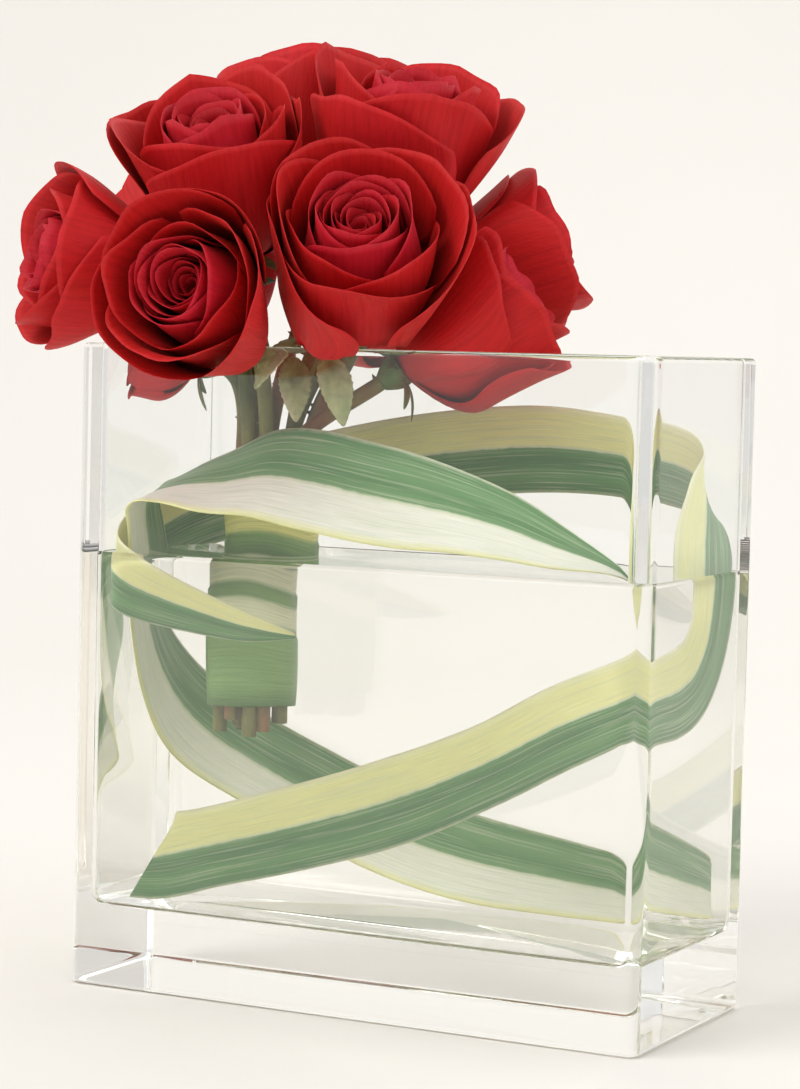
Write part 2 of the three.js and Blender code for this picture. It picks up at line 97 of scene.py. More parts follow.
def ease(low: float, high: float, value: np.ndarray) -> np.ndarray:
    """Rises smoothly from 0 to 1.

    Args:
        low: Where the rise starts.
        high: Where the rise is over.
        value: Where it is asked for.

    Returns:
        The eased share, from 0 to 1.
    """
    share = np.clip((value - low) / (high - low), 0.0, 1.0)
    return share * share * (3.0 - 2.0 * share)


def catmull(rows: np.ndarray, per_span: int) -> np.ndarray:
    """Blends rows of numbers smoothly from each to the next.

    Args:
        rows: One row per station.
        per_span: Samples from each station to the next.

    Returns:
        The blended rows, ending with the last station.
    """
    padded = np.vstack([rows[:1], rows, rows[-1:]])
    shares = np.arange(per_span)[:, None] / per_span
    spans = []
    for i in range(len(rows) - 1):
        p0, p1, p2, p3 = padded[i : i + 4]
        spans.append(0.5 * (2 * p1 + (p2 - p0) * shares
                            + (2 * p0 - 5 * p1 + 4 * p2 - p3) * shares ** 2
                            + (3 * p1 - p0 - 3 * p2 + p3) * shares ** 3))
    spans.append(rows[-1:])
    return np.vstack(spans)


def link(name: str, data: bpy.types.ID) -> bpy.types.Object:
    """Makes an object of a mesh, curve, lamp or camera and puts it in the scene.

    Args:
        name: Its name.
        data: What it shows.

    Returns:
        The new object, at the origin.
    """
    made = bpy.data.objects.new(name, data)
    bpy.context.scene.collection.objects.link(made)
    return made


# =====================================================================
# Mesh gathering
# =====================================================================


@dataclass
class Patchwork:
    """Sheets, rings and tubes gathered into one closed-surfaced piece, in millimetres."""

    points: list[np.ndarray] = field(default_factory=list)
    faces: list[list[int]] = field(default_factory=list)
    cloth: list[np.ndarray] = field(default_factory=list)
    marks: list[np.ndarray] = field(default_factory=list)
    count: int = 0

    def _add(self, points: np.ndarray, faces: np.ndarray, cloth: np.ndarray, marks: np.ndarray) -> None:
        """Adds one closed surface.

        Args:
            points: Its points.
            faces: Rows of point numbers, each a face.
            cloth: Across and along position of every point, for patterns that follow the surface.
            marks: Blush and painted shade of every point.
        """
        self.points.append(points)
        self.faces.extend((faces + self.count).tolist())
        self.cloth.append(cloth)
        self.marks.append(marks)
        self.count += len(points)

    def add_sheet(self, middle: np.ndarray, thickness: float, cloth: np.ndarray,
                  front: np.ndarray, back: np.ndarray) -> None:
        """Adds a thin sheet with a front, a back and a thinned edge.

        Args:
            middle: Grid of points halfway through the sheet.
            thickness: Thickness away from its edge.
            cloth: Across and along position of every grid point.
            front: Blush and painted shade of every grid point on the front side.
            back: Blush and painted shade of every grid point on the back side.
        """
        across, along = middle.shape[:2]
        normal = np.cross(np.gradient(middle, axis=0), np.gradient(middle, axis=1))
        normal = normal / np.maximum(np.linalg.norm(normal, axis=-1, keepdims=True), 1e-9)
        half = np.full((across, along, 1), thickness / 2)
        half[0] *= 0.4
        half[-1] *= 0.4
        half[:, -1] *= 0.4
        number = np.arange(across * along).reshape(across, along)
        quads = np.stack([number[:-1, :-1], number[1:, :-1], number[1:, 1:], number[:-1, 1:]], -1)
        quads = quads.reshape(-1, 4)
        loop = np.concatenate([number[:-1, 0], number[-1, :-1], number[:0:-1, -1], number[0, :0:-1]])
        following = np.roll(loop, -1)
        shift = across * along
        rim = np.stack([loop + shift, following + shift, following, loop], -1)
        points = np.concatenate([(middle + normal * half).reshape(-1, 3),
                                 (middle - normal * half).reshape(-1, 3)])
        faces = np.concatenate([quads, quads[:, ::-1] + shift, rim])
        flat = cloth.reshape(-1, 2)
        marks = np.concatenate([front.reshape(-1, 2), back.reshape(-1, 2)])
        self._add(points, faces, np.concatenate([flat, flat]), marks)

    def add_rings(self, rings: np.ndarray, closed: bool = False, cloth: np.ndarray | None = None) -> None:
        """Adds rings joined one to the next.

        Args:
            rings: Ring by ring, the points of each, turning anticlockwise about the way the rings advance.
            closed: Joins the last ring to the first instead of closing both ends.
            cloth: Around and along position of every point.
        """
        total, sides = rings.shape[:2]
        number = np.arange(total * sides).reshape(total, sides)
        upper = np.roll(number, -1, axis=0) if closed else number[1:]
        lower = number if closed else number[:-1]
        quads = np.stack([lower, np.roll(lower, -1, axis=1), np.roll(upper, -1, axis=1), upper], -1)
        points = rings.reshape(-1, 3)
        if cloth is None:
            cloth = np.zeros((total, sides, 2))
        flat = cloth.reshape(-1, 2)
        if not closed:
            points = np.concatenate([points, rings[:1].mean(1), rings[-1:].mean(1)])
            flat = np.concatenate([flat, cloth[0].mean(0)[None], cloth[-1].mean(0)[None]])
        self._add(points, quads.reshape(-1, 4), flat, np.zeros((len(points), 2)))
        if not closed:
            start = self.count - len(points)
            hubs = start + total * sides
            for ring, hub, turned in ((number[0], hubs, True), (number[-1], hubs + 1, False)):
                after = np.roll(ring, -1)
                for here, there in zip((ring + start).tolist(), (after + start).tolist()):
                    self.faces.append([hub, there, here] if turned else [hub, here, there])

    def make(self, name: str, material: bpy.types.Material, crease: float = 180.0) -> bpy.types.Object:
        """Makes the gathered surfaces one object.

        Args:
            name: Name of the piece.
            material: Its finish.
            crease: Edges folded by more than this many degrees stay sharp.

        Returns:
            The new object, at the origin, in metres.
        """
        points = np.concatenate(self.points) * MM
        mesh = bpy.data.meshes.new(name)
        mesh.from_pydata(points.tolist(), [], self.faces)
        mesh.polygons.foreach_set("use_smooth", np.ones(len(mesh.polygons), bool))
        corner = np.empty(len(mesh.loops), np.int32)
        mesh.loops.foreach_get("vertex_index", corner)
        layer = mesh.uv_layers.new(name="cloth")
        layer.data.foreach_set("uv", np.concatenate(self.cloth)[corner].ravel().astype(np.float32))
        marks = np.concatenate(self.marks)
        # The second mark is painted shade, which darkens petals where shade falls towards their foot and in
        # the heart.
        for column, label in enumerate(("blush", "painted_shade")):
            attribute = mesh.attributes.new(label, "FLOAT", "POINT")
            attribute.data.foreach_set("value", marks[:, column].astype(np.float32))
        if crease < 180.0:
            mesh.set_sharp_from_angle(angle=math.radians(crease))
        mesh.materials.append(material)
        mesh.validate()
        return link(name, mesh)


def settle(piece: bpy.types.Object, slot: str, *nodes: str) -> None:
    """Puts a finished piece on the body in place of its nodes.

    Args:
        piece: The finished piece.
        slot: Name of a material slot; not used.
        nodes: Nodes that it stands for.
    """
    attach(piece, BODY)
    if nodes:
        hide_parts(*nodes)
    LOG.info("%s: %d faces", piece.name, len(piece.data.polygons))


# =====================================================================
# Finishes
# =====================================================================


class Wiring:
    """A node tree, with short calls for adding and joining nodes."""

    def __init__(self, tree: bpy.types.NodeTree, prefix: str = "") -> None:
        """Takes a tree, and what the types of all its nodes begin with."""
        self.tree = tree
        self.prefix = prefix

    def add(self, kind: str, sockets: dict | None = None, **settings: object) -> bpy.types.Node:
        """Adds a node.

        Args:
            kind: Its type, without the prefix.
            sockets: Input name or number to a value, or to the output socket that feeds it.
            settings: Properties of the node.

        Returns:
            The new node.
        """
        node = self.tree.nodes.new(self.prefix + kind)
        for key, value in settings.items():
            setattr(node, key, value)
        self.feed(node, sockets or {})
        return node

    def feed(self, node: bpy.types.Node, sockets: dict) -> None:
        """Sets or joins inputs of a node.

        Args:
            node: The node.
            sockets: Input name or number to a value, or to the output socket that feeds it.
        """
        for key, value in sockets.items():
            if isinstance(value, bpy.types.NodeSocket):
                self.tree.links.new(value, node.inputs[key])
            else:
                node.inputs[key].default_value = value


class Board(Wiring):
    """A material's node tree."""

    def __init__(self, name: str) -> None:
        """Starts a material that has only its shader and its output."""
        self.material = bpy.data.materials.new(name)
        self.material.use_nodes = True
        super().__init__(self.material.node_tree, "ShaderNode")
        self.shader = self.tree.nodes["Principled BSDF"]

    def ramp(self, factor: bpy.types.NodeSocket, stops: list[tuple[float, tuple[float, float, float]]],
             smooth: bool = False) -> bpy.types.NodeSocket:
        """Adds a colour ramp.

        Args:
            factor: What it reads.
            stops: Position and colour of every stop.
            smooth: Eases between the stops.

        Returns:
            Its colour output.
        """
        node = self.add("ValToRGB", {"Fac": factor})
        bar = node.color_ramp
        bar.interpolation = "EASE" if smooth else "LINEAR"
        while len(bar.elements) < len(stops):
            bar.elements.new(0.5)
        for element, (position, colour) in zip(bar.elements, stops):
            element.position = position
            element.color = (*colour, 1.0)
        return node.outputs["Color"]

    def mix(self, factor: object, first: object, second: object, how: str = "MIX") -> bpy.types.NodeSocket:
        """Mixes two colours.

        Args:
            factor: Share of the second.
            first: First colour, or the socket that gives it.
            second: Second colour, or the socket that gives it.
            how: Way of mixing.

        Returns:
            The mixed colour.
        """
        node = self.add("Mix", {}, data_type="RGBA", blend_type=how)
        chosen = {0: factor, 6: first, 7: second}
        self.feed(node, {k: (*v, 1.0) if isinstance(v, tuple) else v for k, v in chosen.items()})
        return node.outputs[2]

    def math(self, how: str, first: object, second: object = 0.0) -> bpy.types.NodeSocket:
        """Works one sum.

        Args:
            how: Which sum.
            first: First number or socket.
            second: Second number or socket.

        Returns:
            The answer.
        """
        return self.add("Math", {0: first, 1: second}, operation=how).outputs[0]

    def scaled(self, source: bpy.types.NodeSocket, factor: float, offset: float) -> bpy.types.NodeSocket:
        """Multiplies a value and adds an offset.

        Args:
            source: The value.
            factor: What it is multiplied by.
            offset: What is added.

        Returns:
            The answer.
        """
        return self.add("Math", {0: source, 1: factor, 2: offset}, operation="MULTIPLY_ADD").outputs[0]

    def attribute(self, name: str) -> bpy.types.NodeSocket:
        """Returns one of the piece's own attributes."""
        return self.add("Attribute", attribute_name=name).outputs["Fac"]

    def place(self) -> bpy.types.NodeSocket:
        """Returns the place in the object's own space."""
        return self.add("TexCoord").outputs["Object"]

    def cloth(self, across: float, along: float) -> bpy.types.NodeSocket:
        """Returns the place on the surface, stretched by a scale across and a scale along."""
        source = self.add("UVMap", uv_map="cloth").outputs["UV"]
        return self.add("Mapping", {"Vector": source, "Scale": (across, along, 1.0)}).outputs["Vector"]

    def noise(self, vector: bpy.types.NodeSocket, scale: float, detail: float = 3.0,
              roughness: float = 0.55) -> bpy.types.NodeSocket:
        """Adds fractal noise.

        Args:
            vector: Where it is read.
            scale: Its scale.
            detail: Its octaves.
            roughness: Weight of the finer octaves.

        Returns:
            Its value, about 0.5 on average.
        """
        sockets = {"Vector": vector, "Scale": scale, "Detail": detail, "Roughness": roughness}
        return self.add("TexNoise", sockets).outputs["Fac"]

    def grained(self, colour: bpy.types.NodeSocket, grain: bpy.types.NodeSocket, share: float,
                low: tuple[float, float, float], high: tuple[float, float, float]) -> bpy.types.NodeSocket:
        """Multiplies a colour by a fine grain.

        Args:
            colour: The colour.
            grain: Noise that the grain follows.
            share: Strength of the grain.
            low: Tone where the noise is low.
            high: Tone where the noise is high.

        Returns:
            The grained colour.
        """
        tone = self.ramp(grain, [(0.3, low), (0.7, high)])
        return self.mix(share, colour, tone, "MULTIPLY")

    def bump(self, height: bpy.types.NodeSocket, strength: float, distance: float) -> None:
        """Gives the shader fine relief.

        Args:
            height: What it reads.
            strength: Share of the relief.
            distance: Its height in metres.
        """
        node = self.add("Bump", {"Height": height, "Strength": strength, "Distance": distance})
        self.feed(self.shader, {"Normal": node.outputs["Normal"]})


@dataclass(frozen=True)
class ClearFinish:
    """Glass or water that light goes through, with the faintest unevenness."""

    name: str
    colour: tuple[float, float, float]
    bending: float
    ripple: float
    ripple_scale: float

    def make(self) -> bpy.types.Material:
        """Returns the material."""
        board = Board(self.name)
        place = board.place()
        board.feed(board.shader, {
            "Base Color": (*self.colour, 1.0),
            "IOR": self.bending,
            "Transmission Weight": 1.0,
            "Roughness": 0.0,
        })
        board.bump(board.noise(place, self.ripple_scale, 1.0), 0.25, self.ripple)
        return board.material


@dataclass(frozen=True)
class PetalFinish:
    """Velvety petal with branching veins, pink where it is young, with painted shade darkening it towards
    its foot.
    """

    name: str
    velvet: tuple[float, float, float] = (0.50, 0.011, 0.0025)
    pink: tuple[float, float, float] = (0.62, 0.014, 0.022)
    # Colour of the painted shade at the petal's foot and in the heart.
    dark: tuple[float, float, float] = (0.095, 0.0014, 0.001)
    sheen: float = 0.07

    def make(self) -> bpy.types.Material:
        """Returns the material."""
        board = Board(self.name)
        place = board.place()
        cloud = board.noise(place, 55.0, 3.0)
        blush = board.math("ADD", board.attribute("blush"), board.scaled(cloud, 0.5, 0.25))
        colour = board.mix(blush, self.velvet, self.pink)
        vein = board.noise(board.cloth(34.0, 2.2), 1.0, 4.0, 0.6)
        fine = board.noise(board.cloth(90.0, 7.0), 1.0, 2.0, 0.5)
        streak = board.ramp(vein, [(0.36, (0.72, 0.62, 0.66)), (0.56, (1.0, 1.0, 1.0))])
        colour = board.mix(0.55, colour, streak, "MULTIPLY")
        # Painted shade: mixes in the dark colour where the petal lies in shade, towards its foot and in the
        # heart.
        colour = board.mix(board.attribute("painted_shade"), colour, self.dark)
        board.feed(board.shader, {
            "Base Color": colour,
            "Roughness": board.scaled(fine, 0.2, 0.5),
            "Sheen Weight": self.sheen,
            "Sheen Roughness": 0.45,
            "Sheen Tint": (1.0, 0.18, 0.11, 1.0),
            "Specular IOR Level": 0.25,
        })
        relief = board.math("ADD", vein, board.math("MULTIPLY", fine, 0.35))
        board.bump(relief, 0.55, 0.0006)
        return board.material


@dataclass(frozen=True)
class BladeFinish:
    """Ribbon leaf with one green half and one cream half, finely striped along its length."""

    name: str
    green: tuple[float, float, float]
    deep: tuple[float, float, float]
    cream: tuple[float, float, float]
    edge: tuple[float, float, float]
    line: tuple[float, float, float] = (0.72, 0.78, 0.56)

    def make(self) -> bpy.types.Material:
        """Returns the material."""
        board = Board(self.name)
        across = board.add("SeparateXYZ", {0: board.cloth(1.0, 1.0)}).outputs[0]
        wander = board.noise(board.cloth(2.0, 14.0), 1.0, 3.0)
        across = board.math("ADD", across, board.scaled(wander, 0.035, -0.0175))
        base = board.ramp(across, [
            (0.0, self.edge), (0.10, self.cream), (0.44, self.cream), (0.475, self.line),
            (0.49, self.green), (0.62, self.deep), (0.8, self.green), (0.96, self.deep), (1.0, self.line),
        ])
        stripes = board.noise(board.cloth(46.0, 1.6), 1.0, 2.0, 0.6)
        light = board.ramp(stripes, [(0.52, (0.0, 0.0, 0.0)), (0.66, (1.0, 1.0, 1.0))])
        amount = board.math("MULTIPLY", light, 0.42)
        colour = board.mix(amount, base, self.line)
        fibres = board.noise(board.cloth(160.0, 5.0), 1.0, 3.0, 0.6)
        board.feed(board.shader, {
            "Base Color": board.grained(colour, fibres, 0.8, (0.80, 0.83, 0.78), (1.08, 1.06, 1.04)),
            "Roughness": board.scaled(fibres, 0.18, 0.30),
            "Subsurface Weight": 0.12,
            "Subsurface Radius": (0.004, 0.005, 0.002),
            "Specular IOR Level": 0.45,
        })
        board.bump(board.math("ADD", fibres, stripes), 0.5, 0.0004)
        return board.material


@dataclass(frozen=True)
class WrapFinish:
    """Leaf wound round the stems, in slanting turns of yellow, green and cream."""

    name: str
    stops: tuple[tuple[float, tuple[float, float, float]], ...]

    def make(self) -> bpy.types.Material:
        """Returns the material."""
        board = Board(self.name)
        along = board.add("SeparateXYZ", {0: board.cloth(1.0, 1.0)}).outputs[1]
        wander = board.scaled(board.noise(board.cloth(1.3, 5.0), 1.0, 3.0), 0.03, -0.015)
        base = board.ramp(board.math("ADD", along, wander), list(self.stops))
        fibres = board.noise(board.cloth(1.2, 130.0), 1.0, 3.0, 0.6)
        board.feed(board.shader, {
            "Base Color": board.grained(base, fibres, 0.85, (0.68, 0.72, 0.66), (1.1, 1.08, 1.0)),
            "Roughness": board.scaled(fibres, 0.2, 0.32),
            "Specular IOR Level": 0.4,
        })
        board.bump(fibres, 0.6, 0.0004)
        return board.material


@dataclass(frozen=True)
class GreenFinish:
    """Stem, calyx or leaflet: two greens and a reddish or pale tint in drifts."""

    name: str
    light: tuple[float, float, float]
    dark: tuple[float, float, float]
    tint: tuple[float, float, float]
    drift: float
    grain: float

    def make(self) -> bpy.types.Material:
        """Returns the material."""
        board = Board(self.name)
        place = board.place()
        stretched = board.add("Mapping", {"Vector": place, "Scale": (1.0, 1.0, 0.35)}).outputs["Vector"]
        wide = board.noise(stretched, self.drift, 2.0)
        fine = board.noise(place, self.grain, 4.0, 0.65)
        colour = board.ramp(wide, [(0.3, self.dark), (0.48, self.light), (0.66, self.tint)], True)
        board.feed(board.shader, {
            "Base Color": board.grained(colour, fine, 0.8, (0.7, 0.7, 0.7), (1.15, 1.15, 1.1)),
            "Roughness": board.scaled(fine, 0.25, 0.38),
            "Specular IOR Level": 0.4,
        })
        board.bump(fine, 0.5, 0.0005)
        return board.material


@dataclass(frozen=True)
class StudioFinish:
    """Plain matt surface for the floor and the backdrop."""

    name: str
    colour: tuple[float, float, float]

    def make(self) -> bpy.types.Material:
        """Returns the material."""
        board = Board(self.name)
        tone = board.noise(board.place(), 3.0, 2.0)
        pale = board.ramp(tone, [(0.3, tuple(0.985 * c for c in self.colour)), (0.7, self.colour)])
        board.feed(board.shader, {"Base Color": pale, "Roughness": 0.85, "Specular IOR Level": 0.2})
        return board.material


# =====================================================================
# Vase and water
# =====================================================================


def rounded_ring(width: float, depth: float, corner: float, z: float, inset: float = 0.0) -> np.ndarray:
    """Makes the ring of a rectangle with rounded corners.

    Args:
        width: Its full width.
        depth: Its full depth.
        corner: Radius of its corners.
        z: Its height.
        inset: How far it is drawn in on every side.

    Returns:
        The points of the ring, anticlockwise from above.
    """
    half = np.array([width / 2 - inset, depth / 2 - inset])
    radius = max(corner - inset, 0.4)
    turns = np.linspace(0.0, math.pi / 2, 8)
    ring = []
    for quarter, (sign_x, sign_y) in enumerate(((1, 1), (-1, 1), (-1, -1), (1, -1))):
        middle = np.array([sign_x, sign_y]) * (half - radius)
        angles = turns + quarter * math.pi / 2
        arc = middle + radius * np.stack([np.cos(angles), np.sin(angles)], -1)
        enter = arc[0] - 0.9 * np.array([-math.sin(angles[0]), math.cos(angles[0])])
        leave = arc[-1] + 0.9 * np.array([-math.sin(angles[-1]), math.cos(angles[-1])])
        ring.extend([enter, *arc, leave])
    flat = np.array(ring)
    return np.column_stack([flat, np.full(len(flat), z)])


@dataclass
class Vase:
    """Thick-based rectangular glass vase, in millimetres."""

    width: float = VASE_WIDTH
    depth: float = VASE_DEPTH
    height: float = VASE_HEIGHT
    wall: float = VASE_WALL
    bevel: float = 1.4
    rim: float = 1.8

    def cavity(self, gap: float, top: float) -> list[np.ndarray]:
        """Rings of the inside from the middle of its crowned floor up.

        Args:
            gap: How far the rings stand off the glass; less than 0 goes into it.
            top: Height of the last ring.

        Returns:
            The rings, lowest first.
        """
        width = self.width - 2 * (self.wall + gap)
        depth = self.depth - 2 * (self.wall + gap)
        rings = []
        for share in (0.08, 0.3, 0.55, 0.8, 1.0):
            z = FLOOR_CROWN_Z + (FLOOR_EDGE_Z - FLOOR_CROWN_Z) * share * share + gap
            rings.append(rounded_ring((width - 2 * FLOOR_CURVE) * share, (depth - 2 * FLOOR_CURVE) * share,
                                      max(INNER_CORNER * share, 0.5), z))
        for turn in np.radians([20.0, 45.0, 70.0, 90.0]):
            rings.append(rounded_ring(width, depth, INNER_CORNER,
                                      FLOOR_EDGE_Z + gap + FLOOR_CURVE * (1 - math.cos(turn)),
                                      FLOOR_CURVE * (1 - math.sin(turn))))
        rings.append(rounded_ring(width, depth, INNER_CORNER, FLOOR_EDGE_Z + gap + FLOOR_CURVE + 1.5))
        rings.append(rounded_ring(width, depth, INNER_CORNER, top))
        return rings

    def rings(self) -> list[np.ndarray]:
        """Returns all its rings, up the outside, over the rim and down the inside."""
        made = []

        def outer(z: float, inset: float = 0.0) -> None:
            """Adds a ring of the outside at a height, drawn in by an inset."""
            made.append(rounded_ring(self.width, self.depth, OUTER_CORNER, z, inset))

        for share in (0.1, 0.5, 0.9):
            made.append(rounded_ring(self.width * share, self.depth * share, OUTER_CORNER * share,
                                     UNDERSIDE_LIFT * (1 - share)))
        for turn in np.radians([0.0, 30.0, 60.0, 90.0]):
            outer(self.bevel * (1 - math.cos(turn)), self.bevel * (1 - math.sin(turn)))
        outer(self.bevel + 1.0)
        outer(self.height - self.rim - 1.0)
        for turn in np.radians([0.0, 30.0, 60.0, 85.0]):
            outer(self.height - self.rim * (1 - math.sin(turn)), self.rim * (1 - math.cos(turn)))
        for turn in np.radians([85.0, 60.0, 30.0, 0.0]):
            made.append(rounded_ring(self.width - 2 * self.wall, self.depth - 2 * self.wall, INNER_CORNER,
                                     self.height - self.rim * (1 - math.sin(turn)),
                                     -self.rim * (1 - math.cos(turn))))
        made.extend(self.cavity(0.0, self.height - self.rim - 1.0)[::-1])
        return made

    def build(self, finish: bpy.types.Material) -> None:
        """Makes the vase."""
        work = Patchwork()
        work.add_rings(np.array(self.rings()))
        settle(work.make("glass_vase", finish), "clear_glass", "vase")


@dataclass
class Water:
    """Water in the vase, drawn up a little where it meets the glass, in millimetres."""

    vase: Vase
    level: float = WATER_LEVEL
    overlap: float = 0.3
    climb: float = 0.2
    reach: float = 0.9

    def build(self, finish: bpy.types.Material) -> None:
        """Makes the water, which laps a hair's breadth into the glass so that no air shows between."""
        width = self.vase.width - 2 * (self.vase.wall - self.overlap)
        depth = self.vase.depth - 2 * (self.vase.wall - self.overlap)
        rings = self.vase.cavity(-self.overlap, self.level - 2.0)
        for share in (0.0, 0.08, 0.2, 0.4, 0.65, 1.0):
            lift = self.climb * (1 - share) ** 2.6
            rings.append(rounded_ring(width, depth, INNER_CORNER, self.level + lift, self.reach * share))
        rings.append(rounded_ring(width, depth, INNER_CORNER, self.level, self.reach + 12.0))
        rings.append(rounded_ring(width * 0.1, depth * 0.1, 0.6, self.level))
        work = Patchwork()
        work.add_rings(np.array(rings))
        settle(work.make("vase_water", finish), "water", "water")


# =====================================================================
# Ribbon leaves and the wrapping leaf
# =====================================================================


class Leading(Enum):
    """Which half of a ribbon leaf its stations' direction points to."""

    GREEN = 1
    CREAM = -1


@dataclass
class RibbonLeaf:
    """Long leaf swept through stations of place, direction across it and half width, in millimetres."""

    name: str
    node: str
    leading: Leading
    stations: list[list[float]]
    per_span: int = 10
    across: int = 26
    thickness: float = 0.8
    cut_length: float = 45.0
    crease: float = 0.9
    rib: float = 0.07

    def middle(self) -> tuple[np.ndarray, np.ndarray]:
        """Works out the surface halfway through the leaf.

        Returns:
            The grid of points, and the across and along position of each.
        """
        rows = catmull(np.array(self.stations, float), self.per_span)
        centre = rows[:, :3]
        ahead = unit(np.gradient(centre, axis=0))
        reach = np.maximum(rows[:, 6], 0.5)
        travel = np.concatenate([[0.0], np.cumsum(np.linalg.norm(np.diff(centre, axis=0), axis=1))])
        side = unit(rows[:, 3:6])
        squared = ease(0.0, self.cut_length, travel)[:, None]
        side = unit(side - ahead * np.sum(side * ahead, 1, keepdims=True) * squared)
        out = unit(np.cross(ahead, side))
        share = np.linspace(-1.0, 1.0, self.across)
        wave = 0.25 * np.sin(travel / 17.0)[None, :] * share[:, None] ** 2
        lift = self.crease * (1 - np.abs(share))[:, None] * np.minimum(1.0, reach / 12)[None, :]
        lift = lift + self.rib * np.cos(share * math.pi * 11)[:, None] + wave
        grid = (centre[None] + side[None] * (share[:, None, None] * reach[None, :, None])
                + out[None] * lift[..., None])
        position = np.stack(np.broadcast_arrays((0.5 + 0.5 * self.leading.value * share)[:, None],
                                                travel[None, :] / 100.0), -1)
        return grid, position

    def build(self, finish: bpy.types.Material) -> None:
        """Makes the leaf."""
        grid, position = self.middle()
        marks = np.zeros_like(position)
        work = Patchwork()
        work.add_sheet(grid, self.thickness, position, marks, marks)
        settle(work.make(self.name, finish), "variegated_leaf", self.node)


RIBBON_FRONT_HIGH = [
    [109, -39, 170.5, 0, 0, 1, 0.9],
    [99, -42.3, 175.5, 0, 0.05, 1, 3.5],
    [80, -43.0, 181, 0, 0.05, 1, 8.5],
    [60, -43.0, 187, 0, 0.05, 1, 12.5],
    [39, -42.8, 191.5, 0.1, 0.06, 1, 15.5],
    [19, -42.4, 194.5, 0.12, 0.08, 1, 18],
    [-2, -41.6, 197.5, 0.12, 0.12, 1, 19],
    [-22, -39.6, 200.5, 0.08, 0.22, 0.97, 19.3],
    [-44, -34.6, 202, 0, 0.5, 0.87, 19],
    [-66, -30, 198.5, -0.02, 0.75, 0.66, 18.6],
    [-88, -27, 196, -0.1, 0.93, 0.34, 18.2],
    [-103.5, -25, 190, -0.22, 0.96, 0.1, 17.5],
    [-106.6, -20, 174, -0.16, 0.97, 0.16, 18],
    [-107.2, -10, 150, -0.1, 0.93, 0.33, 18.3],
    [-106.6, 5, 126, 0.02, 0.8, 0.6, 18.5],
    [-102.5, 21, 108, 0.2, 0.55, 0.8, 18.5],
    [-94, 33.5, 96, 0.3, 0.22, 0.93, 18.5],
    [-78, 40.3, 86, 0.28, 0.04, 0.95, 18.5],
    [-50, 42.4, 74, 0.32, 0, 0.94, 18.5],
    [-16, 42.8, 61.5, 0.26, 0, 0.96, 18.5],
    [20, 42.8, 53.5, 0.15, 0, 0.98, 17.6],
    [60, 42.4, 49.5, 0.06, 0, 1, 15],
    [90, 40.2, 47.5, 0.02, 0, 1, 12.5],
    [100, 37, 47, -0.25, 0, 1, 11],
]
RIBBON_FRONT_LOW = [
    [-86, -42.8, 51, 0.54, 0, 0.84, 19],
    [-66, -43.0, 56.5, -0.2, 0, 0.97, 15.6],
    [-26, -43.2, 68, -0.33, 0, 0.94, 16],
    [17, -43.2, 82.3, -0.36, 0, 0.93, 16.3],
    [55, -43.0, 99, -0.42, 0, 0.9, 15],
    [83, -41.5, 114.5, -0.43, -0.05, 0.88, 15],
    [102, -31, 124, -0.25, -0.38, 0.88, 15.5],
    [110.3, -12, 127.5, -0.04, -0.32, 0.95, 17],
    [110.6, 4, 133, -0.08, -0.55, 0.83, 17.5],
    [109, 17, 145, -0.16, -0.8, 0.57, 17.4],
    [106.8, 24, 162, -0.28, -0.93, 0.22, 17.4],
    [106, 25.5, 179, -0.3, -0.93, 0.18, 17],
    [104, 30, 193, -0.14, -0.78, 0.6, 15.6],
    [99, 36.5, 202, 0.12, -0.38, 0.9, 15],
    [88, 41, 207.5, 0.16, -0.12, 0.97, 15.4],
    [66, 42.8, 211, 0.08, 0, 0.99, 15.6],
    [35, 43.0, 212.5, 0, 0, 1, 17],
    [0, 43.0, 209.5, -0.08, 0, 1, 17.4],
    [-35, 43.0, 204, -0.14, 0, 1, 17.4],
    [-72, 42.6, 196, -0.2, 0, 0.98, 17],
    [-98, 37.5, 189, -0.2, -0.15, 0.97, 16.5],
    [-110, 21, 182, -0.05, -0.3, 0.95, 16],
    [-112.2, -2, 175, 0, -0.3, 0.95, 15.5],
    [-111.8, -24, 167, 0, -0.3, 0.95, 15],
    [-107.5, -38, 161, 0.15, -0.2, 0.97, 13.4],
    [-94, -43.2, 155, 0.24, 0, 0.97, 11.6],
    [-68, -43.6, 148.2, 0.22, 0, 0.98, 8.4],
    [-45, -43.6, 143.6, 0.15, 0, 0.99, 5.4],
    [-25, -43.4, 141.6, 0.1, 0, 1, 0.9],
]


